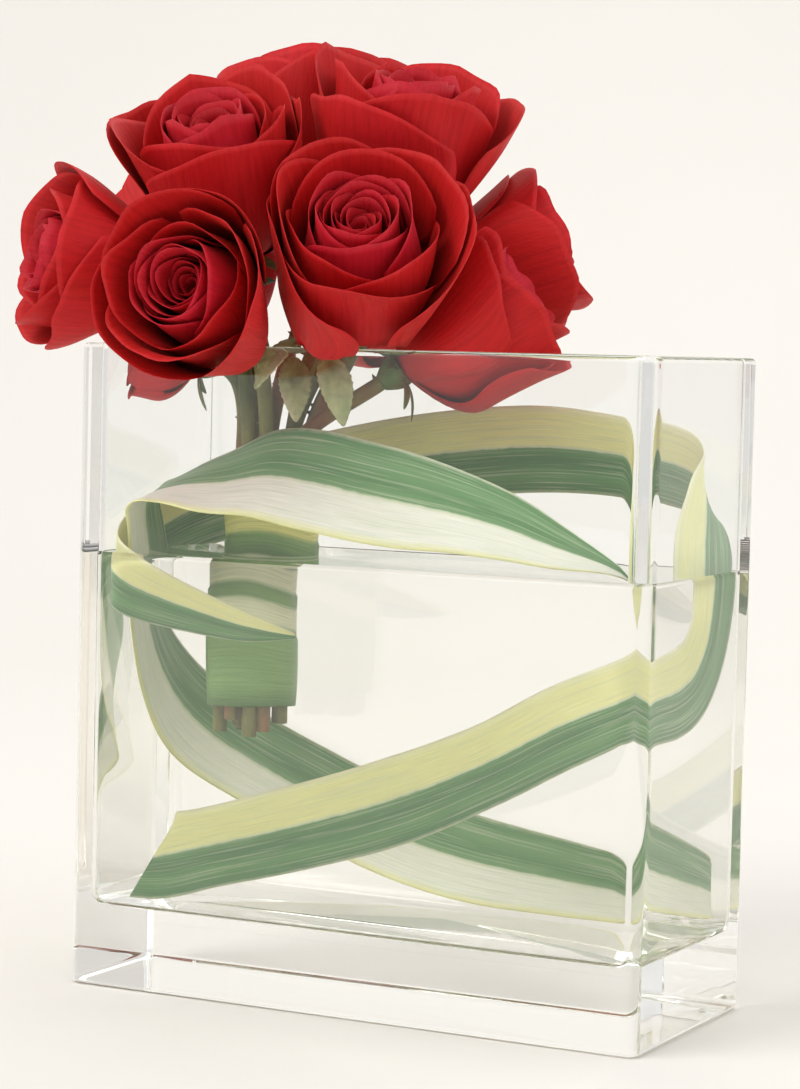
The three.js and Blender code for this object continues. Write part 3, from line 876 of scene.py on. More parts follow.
@dataclass
class StemWrap:
    """Leaf wound round the stems in overlapping slanting turns, in millimetres."""

    bottom: float = 110.0
    top: float = 200.0
    inner: float = 17.2
    outer: float = 19.1
    overlap: float = 0.9
    sides: int = 72
    steps: int = 110
    turns: tuple[float, ...] = (0.0, 0.33, 0.52, 0.72, 0.86, 1.0)

    def build(self, finish: bpy.types.Material) -> None:
        """Makes the wrap as a sleeve whose turns stand proud of one another at their lower edges."""
        angle = np.linspace(0.0, 2 * math.pi, self.sides, endpoint=False)[None, :]
        share = np.linspace(0.0, 1.0, self.steps)[:, None]
        slant = 0.045 * np.cos(angle + 0.6) + 0.03 * np.cos(2 * angle - 0.5)
        band = share + slant * np.sin(math.pi * share)
        edges = np.array(self.turns)
        which = np.searchsorted(edges, np.clip(band, 0, 0.9999), side="right") - 1
        which = np.clip(which, 0, len(edges) - 2)
        inside = (band - edges[which]) / (edges[which + 1] - edges[which])
        step = self.overlap * np.clip(inside, 0, 1) ** 0.7
        waist = 0.9 * np.sin(math.pi * share * 2.2 + 0.6)
        radius = self.outer - self.overlap * 0.5 + step * 0.8 - 0.4 + waist * 0.4
        radius = radius + 0.25 * np.sin(angle * 3 + share * 9)
        z = self.bottom + (self.top - self.bottom) * share + 2.2 * np.cos(angle + 0.6) * (0.5 + share)
        outside, inner = (np.stack([BUNDLE_X + reach * np.cos(angle), reach * np.sin(angle), z], -1)
                          for reach in (radius, np.full_like(radius, self.inner)))
        rings = np.concatenate([outside, inner[::-1]])
        around = np.broadcast_to(angle / (2 * math.pi) * 3.0, band.shape)
        position = np.stack([around, band], -1)
        work = Patchwork()
        work.add_rings(rings, True, np.concatenate([position, position[::-1]]))
        settle(work.make("stem_wrap_leaf", finish), "wrap_leaf", "stem_wrap")


# =====================================================================
# Roses
# =====================================================================


class Perch(Enum):
    """Where a head sits against the vase."""

    OVER_RIM = "over the rim"
    IN_MOUTH = "inside the mouth"
    IN_CORNER = "in the front corner of the mouth"


FRONT_GLASS = ((0, -1.0, 0), (0, -43.9, 0))
BACK_GLASS = ((0, 1.0, 0), (0, 43.9, 0))
LEFT_GLASS = ((-1.0, 0, 0), (-112.4, 0, 0))
CORNER_GLASS = ((-1.0, -1.0, 0), (-110.0, -42.0, 0))
GLASS_PLANES = {
    Perch.IN_CORNER: (LEFT_GLASS, FRONT_GLASS, CORNER_GLASS),
    Perch.IN_MOUTH: (FRONT_GLASS, BACK_GLASS),
}


@dataclass
class PetalShape:
    """One petal, in millimetres and radians, before it is pressed by its neighbours."""

    turn: float
    radius: float
    height: float
    width: float
    lean: float
    roll: float
    point: float
    tuck: float
    flat: float
    ruffle: float
    blush: float
    seed: int
    across: int = 19
    along: int = 21
    belly: float = 0.45

    def profile(self, u: np.ndarray, s: np.ndarray) -> tuple[np.ndarray, np.ndarray]:
        """Bends lines from foot to edge outwards and curls their ends.

        Args:
            u: Position across the petal, from -1 to 1.
            s: Share of the petal's height, with its outline taken in.

        Returns:
            Distance from the head's axis and height of every grid point.
        """
        foot = 0.1 * self.radius + 1.0
        rho = foot + (self.radius - foot) * (1 - (1 - np.clip(s / self.belly, 0, 1)) ** 2.2)
        z = self.height * (s - 0.34 * s * (1 - np.clip(s, 0, 1)) ** 2)
        step_rho = np.diff(rho, axis=1)
        step_z = np.diff(z, axis=1)
        length = np.hypot(step_rho, step_z)
        mid = 0.5 * (s[:, 1:] + s[:, :-1])
        angle = np.arctan2(step_rho, step_z) + self.lean * ease(0.15, 0.75, mid)
        curl = self.roll * (0.30 + 0.70 * np.abs(u) ** 1.5)
        start = 0.80 - 0.16 * np.abs(u)
        angle = angle + curl * np.clip((mid - start) / (1.02 - start), 0, 1.2) ** 1.3
        first_rho = np.full((self.across, 1), foot)
        rho = np.concatenate([first_rho, foot + np.cumsum(length * np.sin(angle), axis=1)], 1)
        z = np.concatenate([np.zeros((self.across, 1)), np.cumsum(length * np.cos(angle), axis=1)], 1)
        return rho, z

    def sheet(self) -> np.ndarray:
        """Works out the petal in the head's own space.

        Returns:
            Grid of points, across by along, with the head's foot at the origin.
        """
        phase = np.random.default_rng(self.seed).uniform(0, 2 * math.pi, 6)
        u = np.linspace(-1.0, 1.0, self.across)[:, None]
        v = np.linspace(0.0, 1.0, self.along)[None, :]
        outline = 1 - 0.20 * np.abs(u) ** 2.4 + self.point * (1 - np.abs(u)) ** 2.2
        outline = outline + 0.012 * np.sin(3 * u * 2 + phase[0]) + 0.008 * np.sin(9 * u + phase[1])
        s = v * outline
        rho, z = self.profile(u, s)

        # Wraps the petal round the axis; one side is tucked in by the step from petal to petal.
        breadth = self.width * (0.26 + 0.74 * np.sin(0.5 * math.pi * np.clip(s / 0.66, 0, 1)) ** 0.9)
        arc = breadth * u
        body = np.maximum(rho - self.tuck * arc / np.maximum(self.radius, 1), 1.0)
        bend = np.maximum(body, 3.0) / (1 - self.flat * ease(0.35, 1.0, s))
        turned = np.clip(arc / bend, -2.7, 2.7)
        x = body - bend + bend * np.cos(turned)
        y = bend * np.sin(turned)

        # Ruffles the edge and dents the middle.
        wave = self.ruffle * s ** 3 * (np.sin(5.2 * u + phase[2])
                                       + 0.6 * np.sin(9.5 * u + phase[3] + 2 * s))
        dent = 0.5 * self.ruffle * np.sin(3.1 * u + phase[4]) * np.sin(4.0 * s + phase[5])
        x = x + (wave + dent) * np.cos(turned)
        y = y + (wave + dent) * np.sin(turned)
        z = z + 0.4 * wave
        c, sn = math.cos(self.turn), math.sin(self.turn)
        return np.stack([x * c - y * sn, x * sn + y * c, z], -1)

    def position(self) -> np.ndarray:
        """Returns the across and along position of every grid point."""
        u = np.linspace(0.0, 1.0, self.across)[:, None]
        v = np.linspace(0.0, 1.0, self.along)[None, :]
        return np.stack(np.broadcast_arrays(u, v), -1)


@dataclass
class Head:
    """One rose head with its calyx and stem, in millimetres."""

    name: str
    centre: tuple[float, float, float]
    facing: tuple[float, float, float]
    radius: float
    height: float
    seat: tuple[float, float]
    perch: Perch = Perch.OVER_RIM
    openness: float = 1.0
    hollow: float = 0.10
    heart: float = 0.56
    turn: float = 0.0
    outer_count: int = 9
    inner_count: int = 17
    pointed: float = 0.2
    belly: float = 0.42
    neighbours: list["Head"] = field(default_factory=list)
    order: int = 0

    def axis(self) -> np.ndarray:
        """Returns the direction it faces."""
        return unit(np.array(self.facing, float))

    def sides(self) -> tuple[np.ndarray, np.ndarray]:
        """Returns its two sideways directions."""
        axis = self.axis()
        hint = Z_UP if abs(axis[2]) < 0.9 else Y_BACK
        first = unit(np.cross(hint, axis))
        return first, np.cross(axis, first)

    def foot(self) -> np.ndarray:
        """Returns the underside of its petals."""
        return np.array(self.centre, float) - self.axis() * self.height / 2

    def place(self, local: np.ndarray) -> np.ndarray:
        """Carries points from the head's own space to the frame's."""
        first, second = self.sides()
        return (self.foot() + local[..., 0:1] * first + local[..., 1:2] * second
                + local[..., 2:3] * self.axis())

    def planes(self) -> list[tuple[np.ndarray, np.ndarray]]:
        """Lists what presses on it.

        Returns:
            For each plane, its outward direction and a point on it.
        """
        own = np.array(self.centre, float)
        found = []
        for other in self.neighbours:
            gap = np.array(other.centre, float) - own
            share = self.radius / (self.radius + other.radius)
            found.append((unit(gap), own + gap * share))
        found += [(unit(np.array(way)), np.array(spot)) for way, spot in GLASS_PLANES.get(self.perch, ())]
        return found

    def press(self, points: np.ndarray) -> np.ndarray:
        """Presses petals against the neighbouring heads and round the glass.

        Args:
            points: Grid of points in the frame's space.

        Returns:
            The pressed grid.
        """
        moved = points.copy()
        planes = self.planes()
        room = SOFT_ZONE - HEAD_GAP
        for normal, middle in planes:
            depth = (moved - middle) @ normal
            soft = -HEAD_GAP - room * np.exp(-(depth + SOFT_ZONE) / room)
            shift = np.where(depth > -SOFT_ZONE, soft - depth, 0.0)
            moved = moved + shift[..., None] * normal
        for _ in range(12):
            for normal, middle in planes:
                depth = (moved - middle) @ normal
                shift = np.minimum(-HEAD_GAP / 2 - depth, 0.0)
                moved = moved + shift[..., None] * normal
        moved = self.gather(moved)
        if self.perch is Perch.OVER_RIM:
            moved = self.clear_rim(moved)
        return moved

    def gather(self, points: np.ndarray) -> np.ndarray:
        """Draws in points that the pressing squeezed too far from the head's axis.

        Args:
            points: Grid of points in the frame's space.

        Returns:
            The grid, with every point near the head.
        """
        axis = self.axis()
        way = points - np.array(self.centre, float)
        along = (way @ axis)[..., None] * axis
        aside = way - along
        span = np.linalg.norm(aside, axis=-1)
        start, limit = 0.82 * self.radius, 1.03 * self.radius
        eased = start + (limit - start) * np.tanh((span - start) / (limit - start))
        factor = np.where(span > start, eased / np.maximum(span, 1e-6), 1.0)
        return points + aside * (factor[..., None] - 1.0)

    def clear_rim(self, points: np.ndarray) -> np.ndarray:
        """Spreads petals that would enter the glass out over its rim.

        Args:
            points: Grid of points in the frame's space.

        Returns:
            The grid, with every point outside the vase's block.
        """
        half = np.array([VASE_WIDTH / 2 + GLASS_GAP, VASE_DEPTH / 2 + GLASS_GAP])
        top = VASE_HEIGHT + GLASS_GAP
        foot = self.foot()
        side = half - ANCHOR_INSET
        anchor = np.array([*np.clip(foot[:2], -side, side), top - ANCHOR_DEPTH])
        way = points - anchor
        walls = [(half[k] * np.sign(way[..., k]) - anchor[k])
                 / np.where(np.abs(way[..., k]) < TINY, TINY, way[..., k]) for k in (0, 1)]
        lid = np.where(way[..., 2] > TINY, (top - anchor[2]) / np.maximum(way[..., 2], TINY), FAR)
        span = np.stack([*walls, lid], -1)
        reach = np.min(np.where(span > 0, span, FAR), axis=-1)
        factor = np.where(reach > 1.0, np.minimum(reach, 3.0), 1.0)
        return anchor + way * factor[..., None]

    def crowding(self, turn: float) -> float:
        """Tells how squarely a petal faces a neighbouring head.

        Args:
            turn: Direction of the petal's middle about the head's axis.

        Returns:
            0 for open air, up to 1 for a neighbour straight ahead.
        """
        first, second = self.sides()
        way = first * math.cos(turn) + second * math.sin(turn)
        own = np.array(self.centre, float)
        best = 0.0
        for normal, middle in self.planes():
            if (middle - own) @ normal < 1.15 * self.radius:
                best = max(best, float(way @ normal))
        return float(ease(0.25, 0.9, np.array(best)))

    def outer_petal(self, i: int, chance: np.random.Generator) -> PetalShape:
        """Works out one open outer petal.

        Args:
            i: Its number, from the outermost.
            chance: Where its random numbers come from.

        Returns:
            The petal.
        """
        t = i / self.outer_count
        step = (OUTER_SHARE * self.radius - self.heart * self.radius) / self.outer_count
        radius = OUTER_SHARE * self.radius - step * i
        angle = self.turn + i * GOLDEN_ANGLE
        pointed = 1.0 if chance.random() < self.pointed else 0.0
        crowd = self.crowding(angle) * (1 - t)
        return PetalShape(
            turn=angle + chance.uniform(-0.12, 0.12),
            radius=radius,
            height=self.height * (0.90 + 0.09 * math.sin(math.pi * t) + chance.uniform(-0.03, 0.03)),
            width=radius * (1.02 + chance.uniform(-0.06, 0.10)) + 6.0,
            lean=math.radians(self.openness * (15.0 * (1 - t) ** 1.3 - 8.0 * t) + 9.0 * crowd),
            roll=math.radians((84.0 * (1 - t) ** 1.1 + 14.0) * (0.65 + 0.6 * chance.random())
                              * (1 - 0.5 * crowd)),
            point=0.01 + 0.02 * chance.random() + 0.07 * pointed,
            tuck=step,
            flat=0.16 * (1 - t),
            ruffle=0.9 * (1 - 0.4 * t),
            blush=float(np.clip(0.08 + 0.25 * chance.random() ** 2 + 0.2 * t, 0, 1)),
            seed=1000 * (self.order + 1) + i,
            belly=self.belly,
        )

    def heart_petal(self, i: int, chance: np.random.Generator) -> PetalShape:
        """Works out one petal of the rolled heart.

        Args:
            i: Its number, from the outermost of the whole head.
            chance: Where its random numbers come from.

        Returns:
            The petal.
        """
        k = i - self.outer_count
        t = k / (self.inner_count - 1)
        bound = self.heart * self.radius
        step = (bound - HEART_CORE) / self.inner_count
        radius = bound - step * k
        dip = self.hollow * ease(0.25, 1.0, np.array(t)) + 0.05 * chance.random()
        return PetalShape(
            turn=self.turn + i * GOLDEN_ANGLE + chance.uniform(-0.1, 0.1),
            radius=radius,
            height=self.height * float(1.02 - dip),
            width=radius * (1.15 + 0.95 * t) + 2.0,
            lean=-min(math.radians(13.0), math.atan(0.42 * radius / self.height)),
            roll=math.radians(12.0 + 34.0 * chance.random()) * (1.0 - 0.35 * t),
            point=0.02,
            tuck=step,
            flat=0.0,
            ruffle=0.45 * (1 - 0.6 * t),
            blush=float(np.clip(0.30 + 0.45 * chance.random() ** 1.5, 0, 1)),
            seed=1000 * (self.order + 1) + i,
            along=15,
        )

    def petal_shapes(self) -> tuple[list[PetalShape], list[PetalShape]]:
        """Lists its petals, outermost first.

        Returns:
            The outer petals and the petals of the heart.
        """
        chance = np.random.default_rng(100 + self.order)
        outer = [self.outer_petal(i, chance) for i in range(self.outer_count)]
        total = self.outer_count + self.inner_count
        return outer, [self.heart_petal(i, chance) for i in range(self.outer_count, total)]

    def build_petals(self, shapes: list[PetalShape], label: str, slot: str,
                     finish: bpy.types.Material) -> None:
        """Makes one group of petals.

        Args:
            shapes: The petals.
            label: Ending of the piece's name.
            slot: Material slot of the piece.
            finish: Its material.
        """
        work = Patchwork()
        for shape in shapes:
            grid = self.press(self.place(shape.sheet()))
            position = shape.position()
            along = position[..., 1]
            # Painted shade: the inside face darkens towards the petal's foot and on the innermost petals,
            # where shade falls; the outside face gets none.
            depth = 1 - ease(0.18, 0.8, along)
            painted_shade = 0.85 * depth + 0.12 * (shape.radius < 0.3 * self.radius)
            outside = np.stack([shape.blush * (0.75 + 0.5 * (1 - along)), np.zeros_like(along)], -1)
            inside = np.stack([0.55 * shape.blush * (1 - 0.4 * along), np.clip(painted_shade, 0, 1)], -1)
            work.add_sheet(grid, 0.42, position + shape.seed % 17, outside, inside)
        settle(work.make(f"{self.name}_{label}", finish), slot, f"{self.name}_{label}")

    def build_calyx(self, finish: bpy.types.Material) -> None:
        """Makes the hip under the petals and its five folded-back sepals."""
        work = Patchwork()
        heights = np.linspace(0.0, 1.0, 12)
        around = np.linspace(0, 2 * math.pi, 20, endpoint=False)
        bulge = 2.4 + 4.4 * np.sin(math.pi * (0.08 + 0.52 * heights)) ** 1.2
        rings = np.stack([bulge[:, None] * np.cos(around), bulge[:, None] * np.sin(around),
                          np.broadcast_to((-9.2 + 9.6 * heights)[:, None], (12, 20))], -1)
        work.add_rings(self.place(rings))
        chance = np.random.default_rng(500 + self.order)
        for sepal in range(5):
            angle = 2 * math.pi * sepal / 5 + chance.uniform(-0.1, 0.1)
            u = np.linspace(-1, 1, 7)[:, None]
            v = np.linspace(0, 1, 14)[None, :]
            half = 3.6 * (1 - v) ** 0.8 * (0.75 + 0.9 * v) + 0.25
            droop = chance.uniform(5.0, 9.0)
            along = 4.6 + 15.0 * v
            drop = -1.6 - droop * v ** 2.0 + 0.7 * u ** 2 * (1 - v)
            local = np.stack([along * np.cos(angle) - half * u * np.sin(angle),
                              along * np.sin(angle) + half * u * np.cos(angle),
                              drop + 0 * u], -1)
            grid = self.press(self.place(local))
            blank = np.zeros(grid.shape[:2] + (2,))
            work.add_sheet(grid, 0.5, blank, blank, blank)
        settle(work.make(f"{self.name}_calyx", finish), "calyx", f"{self.name}_calyx")

    def stem_path(self) -> np.ndarray:
        """Returns the middle line of its stem, from the cut end up."""
        axis = self.axis()
        foot = np.array([BUNDLE_X + self.seat[0], self.seat[1], 99.0 + (self.order * 5) % 7])
        bound = np.array([foot[0], foot[1], BUNDLE_TOP])
        lift = self.foot()[2] - BUNDLE_TOP
        end = self.foot() - axis * CALYX_REACH
        first = bound + np.array([0, 0, lift * 0.35])
        second = end - axis * min(22.0, lift * 0.3)
        t = np.linspace(0, 1, 22)[:, None]
        curve = ((1 - t) ** 3 * bound + 3 * (1 - t) ** 2 * t * first
                 + 3 * (1 - t) * t ** 2 * second + t ** 3 * end)
        straight = foot + (bound - foot) * np.linspace(0, 1, 16)[:-1, None]
        return np.vstack([straight, curve])


class StemMaker(Wiring):
    """Node tree that sweeps a stem along its path and sets small prickles on it."""

    def __init__(self) -> None:
        """Builds the tree once, for all the stems."""
        super().__init__(bpy.data.node_groups.new("Stem along a path", "GeometryNodeTree"))
        face = self.tree.interface
        self.sockets = {}
        face.new_socket("Geometry", in_out="INPUT", socket_type="NodeSocketGeometry")
        for name, kind in (("Thickness", "Float"), ("Wobble", "Float"), ("Bare Below", "Float"),
                           ("Prickle Density", "Float"), ("Prickle Length", "Float"), ("Seed", "Int"),
                           ("Finish", "Material")):
            made = face.new_socket(name, in_out="INPUT", socket_type="NodeSocket" + kind)
            self.sockets[name] = made.identifier
        face.new_socket("Geometry", in_out="OUTPUT", socket_type="NodeSocketGeometry")
        self._wire()

    def _wire(self) -> None:
        """Joins the path to the tube, the tube to its prickles, and both to the finish."""
        given = self.add("NodeGroupInput").outputs
        smooth = self.add("GeometryNodeResampleCurve", {"Curve": given["Geometry"], "Count": 70})
        noise = self.add("ShaderNodeTexNoise", {"Scale": 38.0, "Detail": 1.0})
        centred = self.add("ShaderNodeVectorMath", {0: noise.outputs["Color"], 1: (0.5, 0.5, 0.5)},
                             operation="SUBTRACT")
        push = self.add("ShaderNodeVectorMath", {0: centred.outputs[0], "Scale": given["Wobble"]},
                          operation="SCALE")
        circle = self.add("GeometryNodeCurvePrimitiveCircle",
                            {"Resolution": 14, "Radius": given["Thickness"]})
        tube = self.add("GeometryNodeCurveToMesh", {"Curve": smooth.outputs[0],
                                                      "Profile Curve": circle.outputs[0], "Fill Caps": True})
        rough = self.add("GeometryNodeSetPosition",
                           {"Geometry": tube.outputs[0], "Offset": push.outputs[0]})
        place = self.add("GeometryNodeInputPosition")
        height = self.add("ShaderNodeSeparateXYZ", {0: place.outputs[0]})
        above = self.add("FunctionNodeCompare", {0: height.outputs[2], 1: given["Bare Below"]},
                           data_type="FLOAT", operation="GREATER_THAN")
        spots = self.add("GeometryNodeDistributePointsOnFaces", {
            "Mesh": rough.outputs[0], "Selection": above.outputs[0],
            "Density": given["Prickle Density"], "Seed": given["Seed"]})
        spike = self.add("GeometryNodeMeshCone", {
            "Vertices": 7, "Radius Top": 0.08 * MM, "Radius Bottom": 0.9 * MM,
            "Depth": given["Prickle Length"]})
        pricks = self.add("GeometryNodeInstanceOnPoints", {
            "Points": spots.outputs["Points"], "Instance": spike.outputs[0],
            "Rotation": spots.outputs["Rotation"]})
        whole = self.add("GeometryNodeJoinGeometry")
        self.tree.links.new(rough.outputs[0], whole.inputs[0])
        self.tree.links.new(pricks.outputs[0], whole.inputs[0])
        real = self.add("GeometryNodeRealizeInstances", {0: whole.outputs[0]})
        shaded = self.add("GeometryNodeSetShadeSmooth", {"Geometry": real.outputs[0]})
        dressed = self.add("GeometryNodeSetMaterial", {"Geometry": shaded.outputs[0],
                                                         "Material": given["Finish"]})
        self.add("NodeGroupOutput", {0: dressed.outputs[0]})

    def build(self, head: Head, finish: bpy.types.Material) -> None:
        """Makes the stem of one head.

        Args:
            head: The head that it carries.
            finish: Its material.
        """
        path = head.stem_path() * MM
        curve = bpy.data.curves.new("stem path", "CURVE")
        curve.dimensions = "3D"
        spline = curve.splines.new("POLY")
        spline.points.add(len(path) - 1)
        spline.points.foreach_set("co", np.column_stack([path, np.ones(len(path))]).ravel())
        carrier = link("stem path", curve)
        modifier = carrier.modifiers.new("Stem", "NODES")
        modifier.node_group = self.tree
        chosen = {
            "Thickness": STEM_RADIUS * MM,
            "Wobble": STEM_WOBBLE * MM,
            "Bare Below": PRICKLES_FROM * MM,
            "Prickle Density": PRICKLE_DENSITY,
            "Prickle Length": PRICKLE_LENGTH * MM,
            "Seed": 11 + head.order,
            "Finish": finish,
        }
        for name, value in chosen.items():
            modifier[self.sockets[name]] = value
        evaluated = carrier.evaluated_get(bpy.context.evaluated_depsgraph_get())
        mesh = bpy.data.meshes.new_from_object(evaluated)
        mesh.name = f"{head.name}_stem"
        piece = link(mesh.name, mesh)
        bpy.data.objects.remove(carrier)
        bpy.data.curves.remove(curve)
        settle(piece, "rose_stem", f"{head.name}_stem")


@dataclass
class Leaflet:
    """Small pale leaf between the stems, in millimetres."""

    name: str
    start: tuple[float, float, float]
    end: tuple[float, float, float]
    half: float
    normal: tuple[float, float, float]
    node: str

    def build(self, finish: bpy.types.Material) -> None:
        """Makes the leaflet with a folded midrib, a toothed edge and a curl."""
        start = np.array(self.start, float)
        ahead = np.array(self.end, float) - start
        up = unit(np.array(self.normal, float))
        side = unit(np.cross(ahead, up))
        u = np.linspace(-1, 1, 17)[:, None]
        v = np.linspace(0, 1, 33)[None, :]
        breadth = self.half * 2.1 * v ** 0.75 * (1 - v) ** 0.9 * (1.15 - 0.3 * v) + 0.35
        tooth = 1 + 0.05 * np.sin(v * 70) * np.abs(u) ** 6
        rib = 0.9 * np.abs(u) + 0.22 * np.cos(v * 38 - np.abs(u) * 7) * np.abs(u)
        rise = 3 * np.sin(math.pi * v) + rib - 1.4 * u ** 2 * v
        grid = (start + v[..., None] * ahead + (u * breadth * tooth)[..., None] * side
                + rise[..., None] * up)
        blank = np.stack(np.broadcast_arrays(0.5 + 0.5 * u, v), -1)
        work = Patchwork()
        work.add_sheet(grid, 0.5, blank, blank, blank)
        settle(work.make(self.name, finish), "leaflet", self.node)


HEADS = [
    Head("rose_1", (-53, -71, 269), (0.1, -0.98, 0.15), 35, 60, (4.6, -12.8),
         openness=0.6, hollow=0.24, heart=0.60, turn=1.2, belly=0.34),
    Head("rose_2", (-6, -37, 282), (0.34, -0.69, 0.62), 45, 62, (13.2, 0),
         openness=0.35, hollow=0.12, heart=0.55, turn=3.6, belly=0.3),
    Head("rose_3", (-74, -25, 313), (0.05, -0.5, 0.86), 43, 62, (-3.5, -4),
         openness=0.9, hollow=0.14, heart=0.52, turn=0.4),
    Head("rose_4", (-16, 15, 326), (0.27, -0.2, 0.94), 44, 62, (4.5, 3),
         openness=1.0, hollow=0.12, heart=0.5, turn=2.2),
    Head("rose_5", (-113, -45, 279), (-0.7, -0.69, 0.18), 36, 58, (-3.2, -13.2),
         openness=0.7, turn=5.5, pointed=0.0),
    Head("rose_6", (12, 42, 284), (0.75, 0.5, 0.42), 35, 56, (9, 9.5), openness=0.8, turn=0.9),
    Head("rose_7", (20, 1, 260), (0.72, 0.35, 0.6), 37, 58, (9, -9),
         perch=Perch.IN_MOUTH, openness=0.7, turn=2.7),
    Head("rose_8", (-101, -29, 250), (-0.7, -0.5, 0.25), 24, 42, (-13.3, -1),
         perch=Perch.IN_CORNER, openness=0.6, turn=4.1, outer_count=8, inner_count=10),
    Head("rose_9", (-118, 36, 286), (-0.74, 0.46, 0.5), 40, 60, (-9.2, 9.2),
         openness=0.8, turn=2.8, pointed=0.0),
    Head("rose_10", (-60, 80, 281), (0, 0.89, 0.45), 41, 60, (0, 13.2), hollow=0.2, turn=3.1, belly=0.3),
    Head("rose_11", (-67, 42, 329), (-0.16, 0.3, 0.94), 44, 62, (-4.6, 4), turn=5.6),
]

LEAFLETS = [
    Leaflet("small_leaf_1", (-40, -23, 246), (-31, -36, 222), 8.5, (0.5, -0.8, 0.4), "rose_leaflet_1"),
    Leaflet("small_leaf_2", (-22, -30, 248), (-10, -37, 221), 9.0, (0.6, -0.7, 0.3), "rose_leaflet_2"),
    Leaflet("small_leaf_3", (-34, -32, 253), (-47, -40, 234), 7.5, (-0.2, -0.9, 0.4), "rose_leaflet_3"),
]


# =====================================================================
# Studio
# =====================================================================


@dataclass
class Studio:
    """Camera, lights, floor and backdrop, in metres."""

    eye: tuple[float, float, float] = (0.5308, -1.0457, 0.2514)
    forward: tuple[float, float, float] = (-0.4562, 0.8899, 0.0)
    pitch: float = 3.72
    roll: float = 1.37
    lens: float = 100.86
    glow: float = 0.95

    def camera(self) -> None:
        """Places the camera."""
        ahead = Vector(self.forward).normalized()
        level = ahead.cross(Vector((0, 0, 1)))
        down = math.radians(self.pitch)
        look = ahead * math.cos(down) - Vector((0, 0, 1)) * math.sin(down)
        above = level.cross(look)
        matrix = Matrix((level, above, -look)).transposed().to_4x4()
        matrix = matrix @ Matrix.Rotation(math.radians(self.roll), 4, "Z")
        data = bpy.data.cameras.new("camera")
        data.lens = self.lens
        data.sensor_width = 36.0
        data.sensor_fit = "AUTO"
        data.clip_start = 0.05
        camera = link("camera", data)
        camera.matrix_world = Matrix.Translation(Vector(self.eye)) @ matrix
        bpy.context.scene.camera = camera

    def light(self, name: str, place: tuple, aim: tuple, size: tuple, power: float, colour: tuple) -> None:
        """Hangs one soft light.

        Args:
            name: Its name.
            place: Where it hangs.
            aim: What it points at.
            size: Its two sides.
            power: Its power in watts.
            colour: Its colour.
        """
        data = bpy.data.lights.new(name, "AREA")
        data.shape = "RECTANGLE"
        data.size, data.size_y = size
        data.energy = power
        data.color = colour
        lamp = link(name, data)
        way = Vector(aim) - Vector(place)
        lamp.rotation_mode = "QUATERNION"
        lamp.rotation_quaternion = way.to_track_quat("-Z", "Y")
        lamp.location = place

    def sky(self) -> None:
        """Sets the soft glow all round, a little darker towards the sides."""
        world = bpy.data.worlds.new("studio glow")
        world.use_nodes = True
        tree = world.node_tree
        ground = tree.nodes["Background"]
        where = tree.nodes.new("ShaderNodeTexCoord")
        split = tree.nodes.new("ShaderNodeSeparateXYZ")
        bar = tree.nodes.new("ShaderNodeValToRGB")
        tree.links.new(where.outputs["Generated"], split.inputs[0])
        tree.links.new(split.outputs[2], bar.inputs["Fac"])
        tree.links.new(bar.outputs["Color"], ground.inputs["Color"])
        bar.color_ramp.elements[0].position = 0.0
        bar.color_ramp.elements[0].color = (0.78, 0.77, 0.75, 1.0)
        bar.color_ramp.elements[1].position = 0.45
        bar.color_ramp.elements[1].color = (1.0, 1.0, 1.0, 1.0)
        ground.inputs["Strength"].default_value = self.glow
        bpy.context.scene.world = world

    def floor(self) -> None:
        """Lays the floor and curves it up into the backdrop."""
        sweep = StudioFinish("pale sweep", (0.81, 0.785, 0.745)).make()
        profile = [(-3.0, 0.0), (1.2, 0.0)]
        profile += [(1.2 + 0.9 * math.sin(a), 0.9 - 0.9 * math.cos(a)) for a in np.linspace(0.15, 1.57, 12)]
        profile.append((2.1, 3.2))
        ahead = np.array([*self.forward[:2], 0.0])
        side = np.array([ahead[1], -ahead[0], 0.0])
        points, faces = [], []
        for reach, rise in profile:
            for edge in (-4.0, 4.0):
                points.append(ahead * reach + side * edge + np.array([0, 0, rise - 0.0004]))
        for i in range(len(profile) - 1):
            faces.append([2 * i, 2 * i + 1, 2 * i + 3, 2 * i + 2])
        mesh = bpy.data.meshes.new("floor")
        mesh.from_pydata([tuple(p) for p in points], [], faces)
        mesh.polygons.foreach_set("use_smooth", np.ones(len(faces), bool))
        mesh.materials.append(sweep)
        link("floor", mesh)

    def build(self) -> None:
        """Sets up the whole studio."""
        scene = bpy.context.scene
        scene.view_settings.view_transform = "Standard"
        scene.cycles.caustics_refractive = True
        scene.cycles.caustics_reflective = False
        scene.cycles.max_bounces = 96
        scene.cycles.blur_glossy = 0.0
        scene.cycles.sample_clamp_indirect = 6.0
        scene.cycles.transmission_bounces = 64
        scene.cycles.glossy_bounces = 64
        scene.cycles.diffuse_bounces = 10
        self.camera()
        self.sky()
        self.floor()
        self.light("key", (-0.9, -1.5, 1.9), (0, 0, 0.2), (1.3, 1.3), 22.0, (1.0, 0.985, 0.96))
        self.light("fill", (1.8, -0.4, 0.9), (0, 0, 0.2), (1.2, 1.2), 6.0, (0.95, 0.97, 1.0))
        self.light("back", (0.2, 1.6, 1.5), (0, 0, 0.2), (1.6, 0.8), 8.0, (1.0, 1.0, 1.0))


def wrap_finish() -> bpy.types.Material:
    """Returns the wrapping leaf's finish, whose stops run from the lowest turn to the highest."""
    yellow = (0.92, 0.88, 0.34)
    cream = (0.93, 0.94, 0.70)
    leaf = (0.24, 0.42, 0.15)
    dark = (0.09, 0.20, 0.06)
    return WrapFinish("wrapping leaf", (
        (0.0, dark), (0.10, leaf), (0.36, leaf), (0.39, cream), (0.46, cream), (0.48, leaf), (0.53, leaf),
        (0.55, cream), (0.63, cream), (0.65, dark), (0.73, leaf), (0.755, yellow), (1.0, yellow),
    )).make()


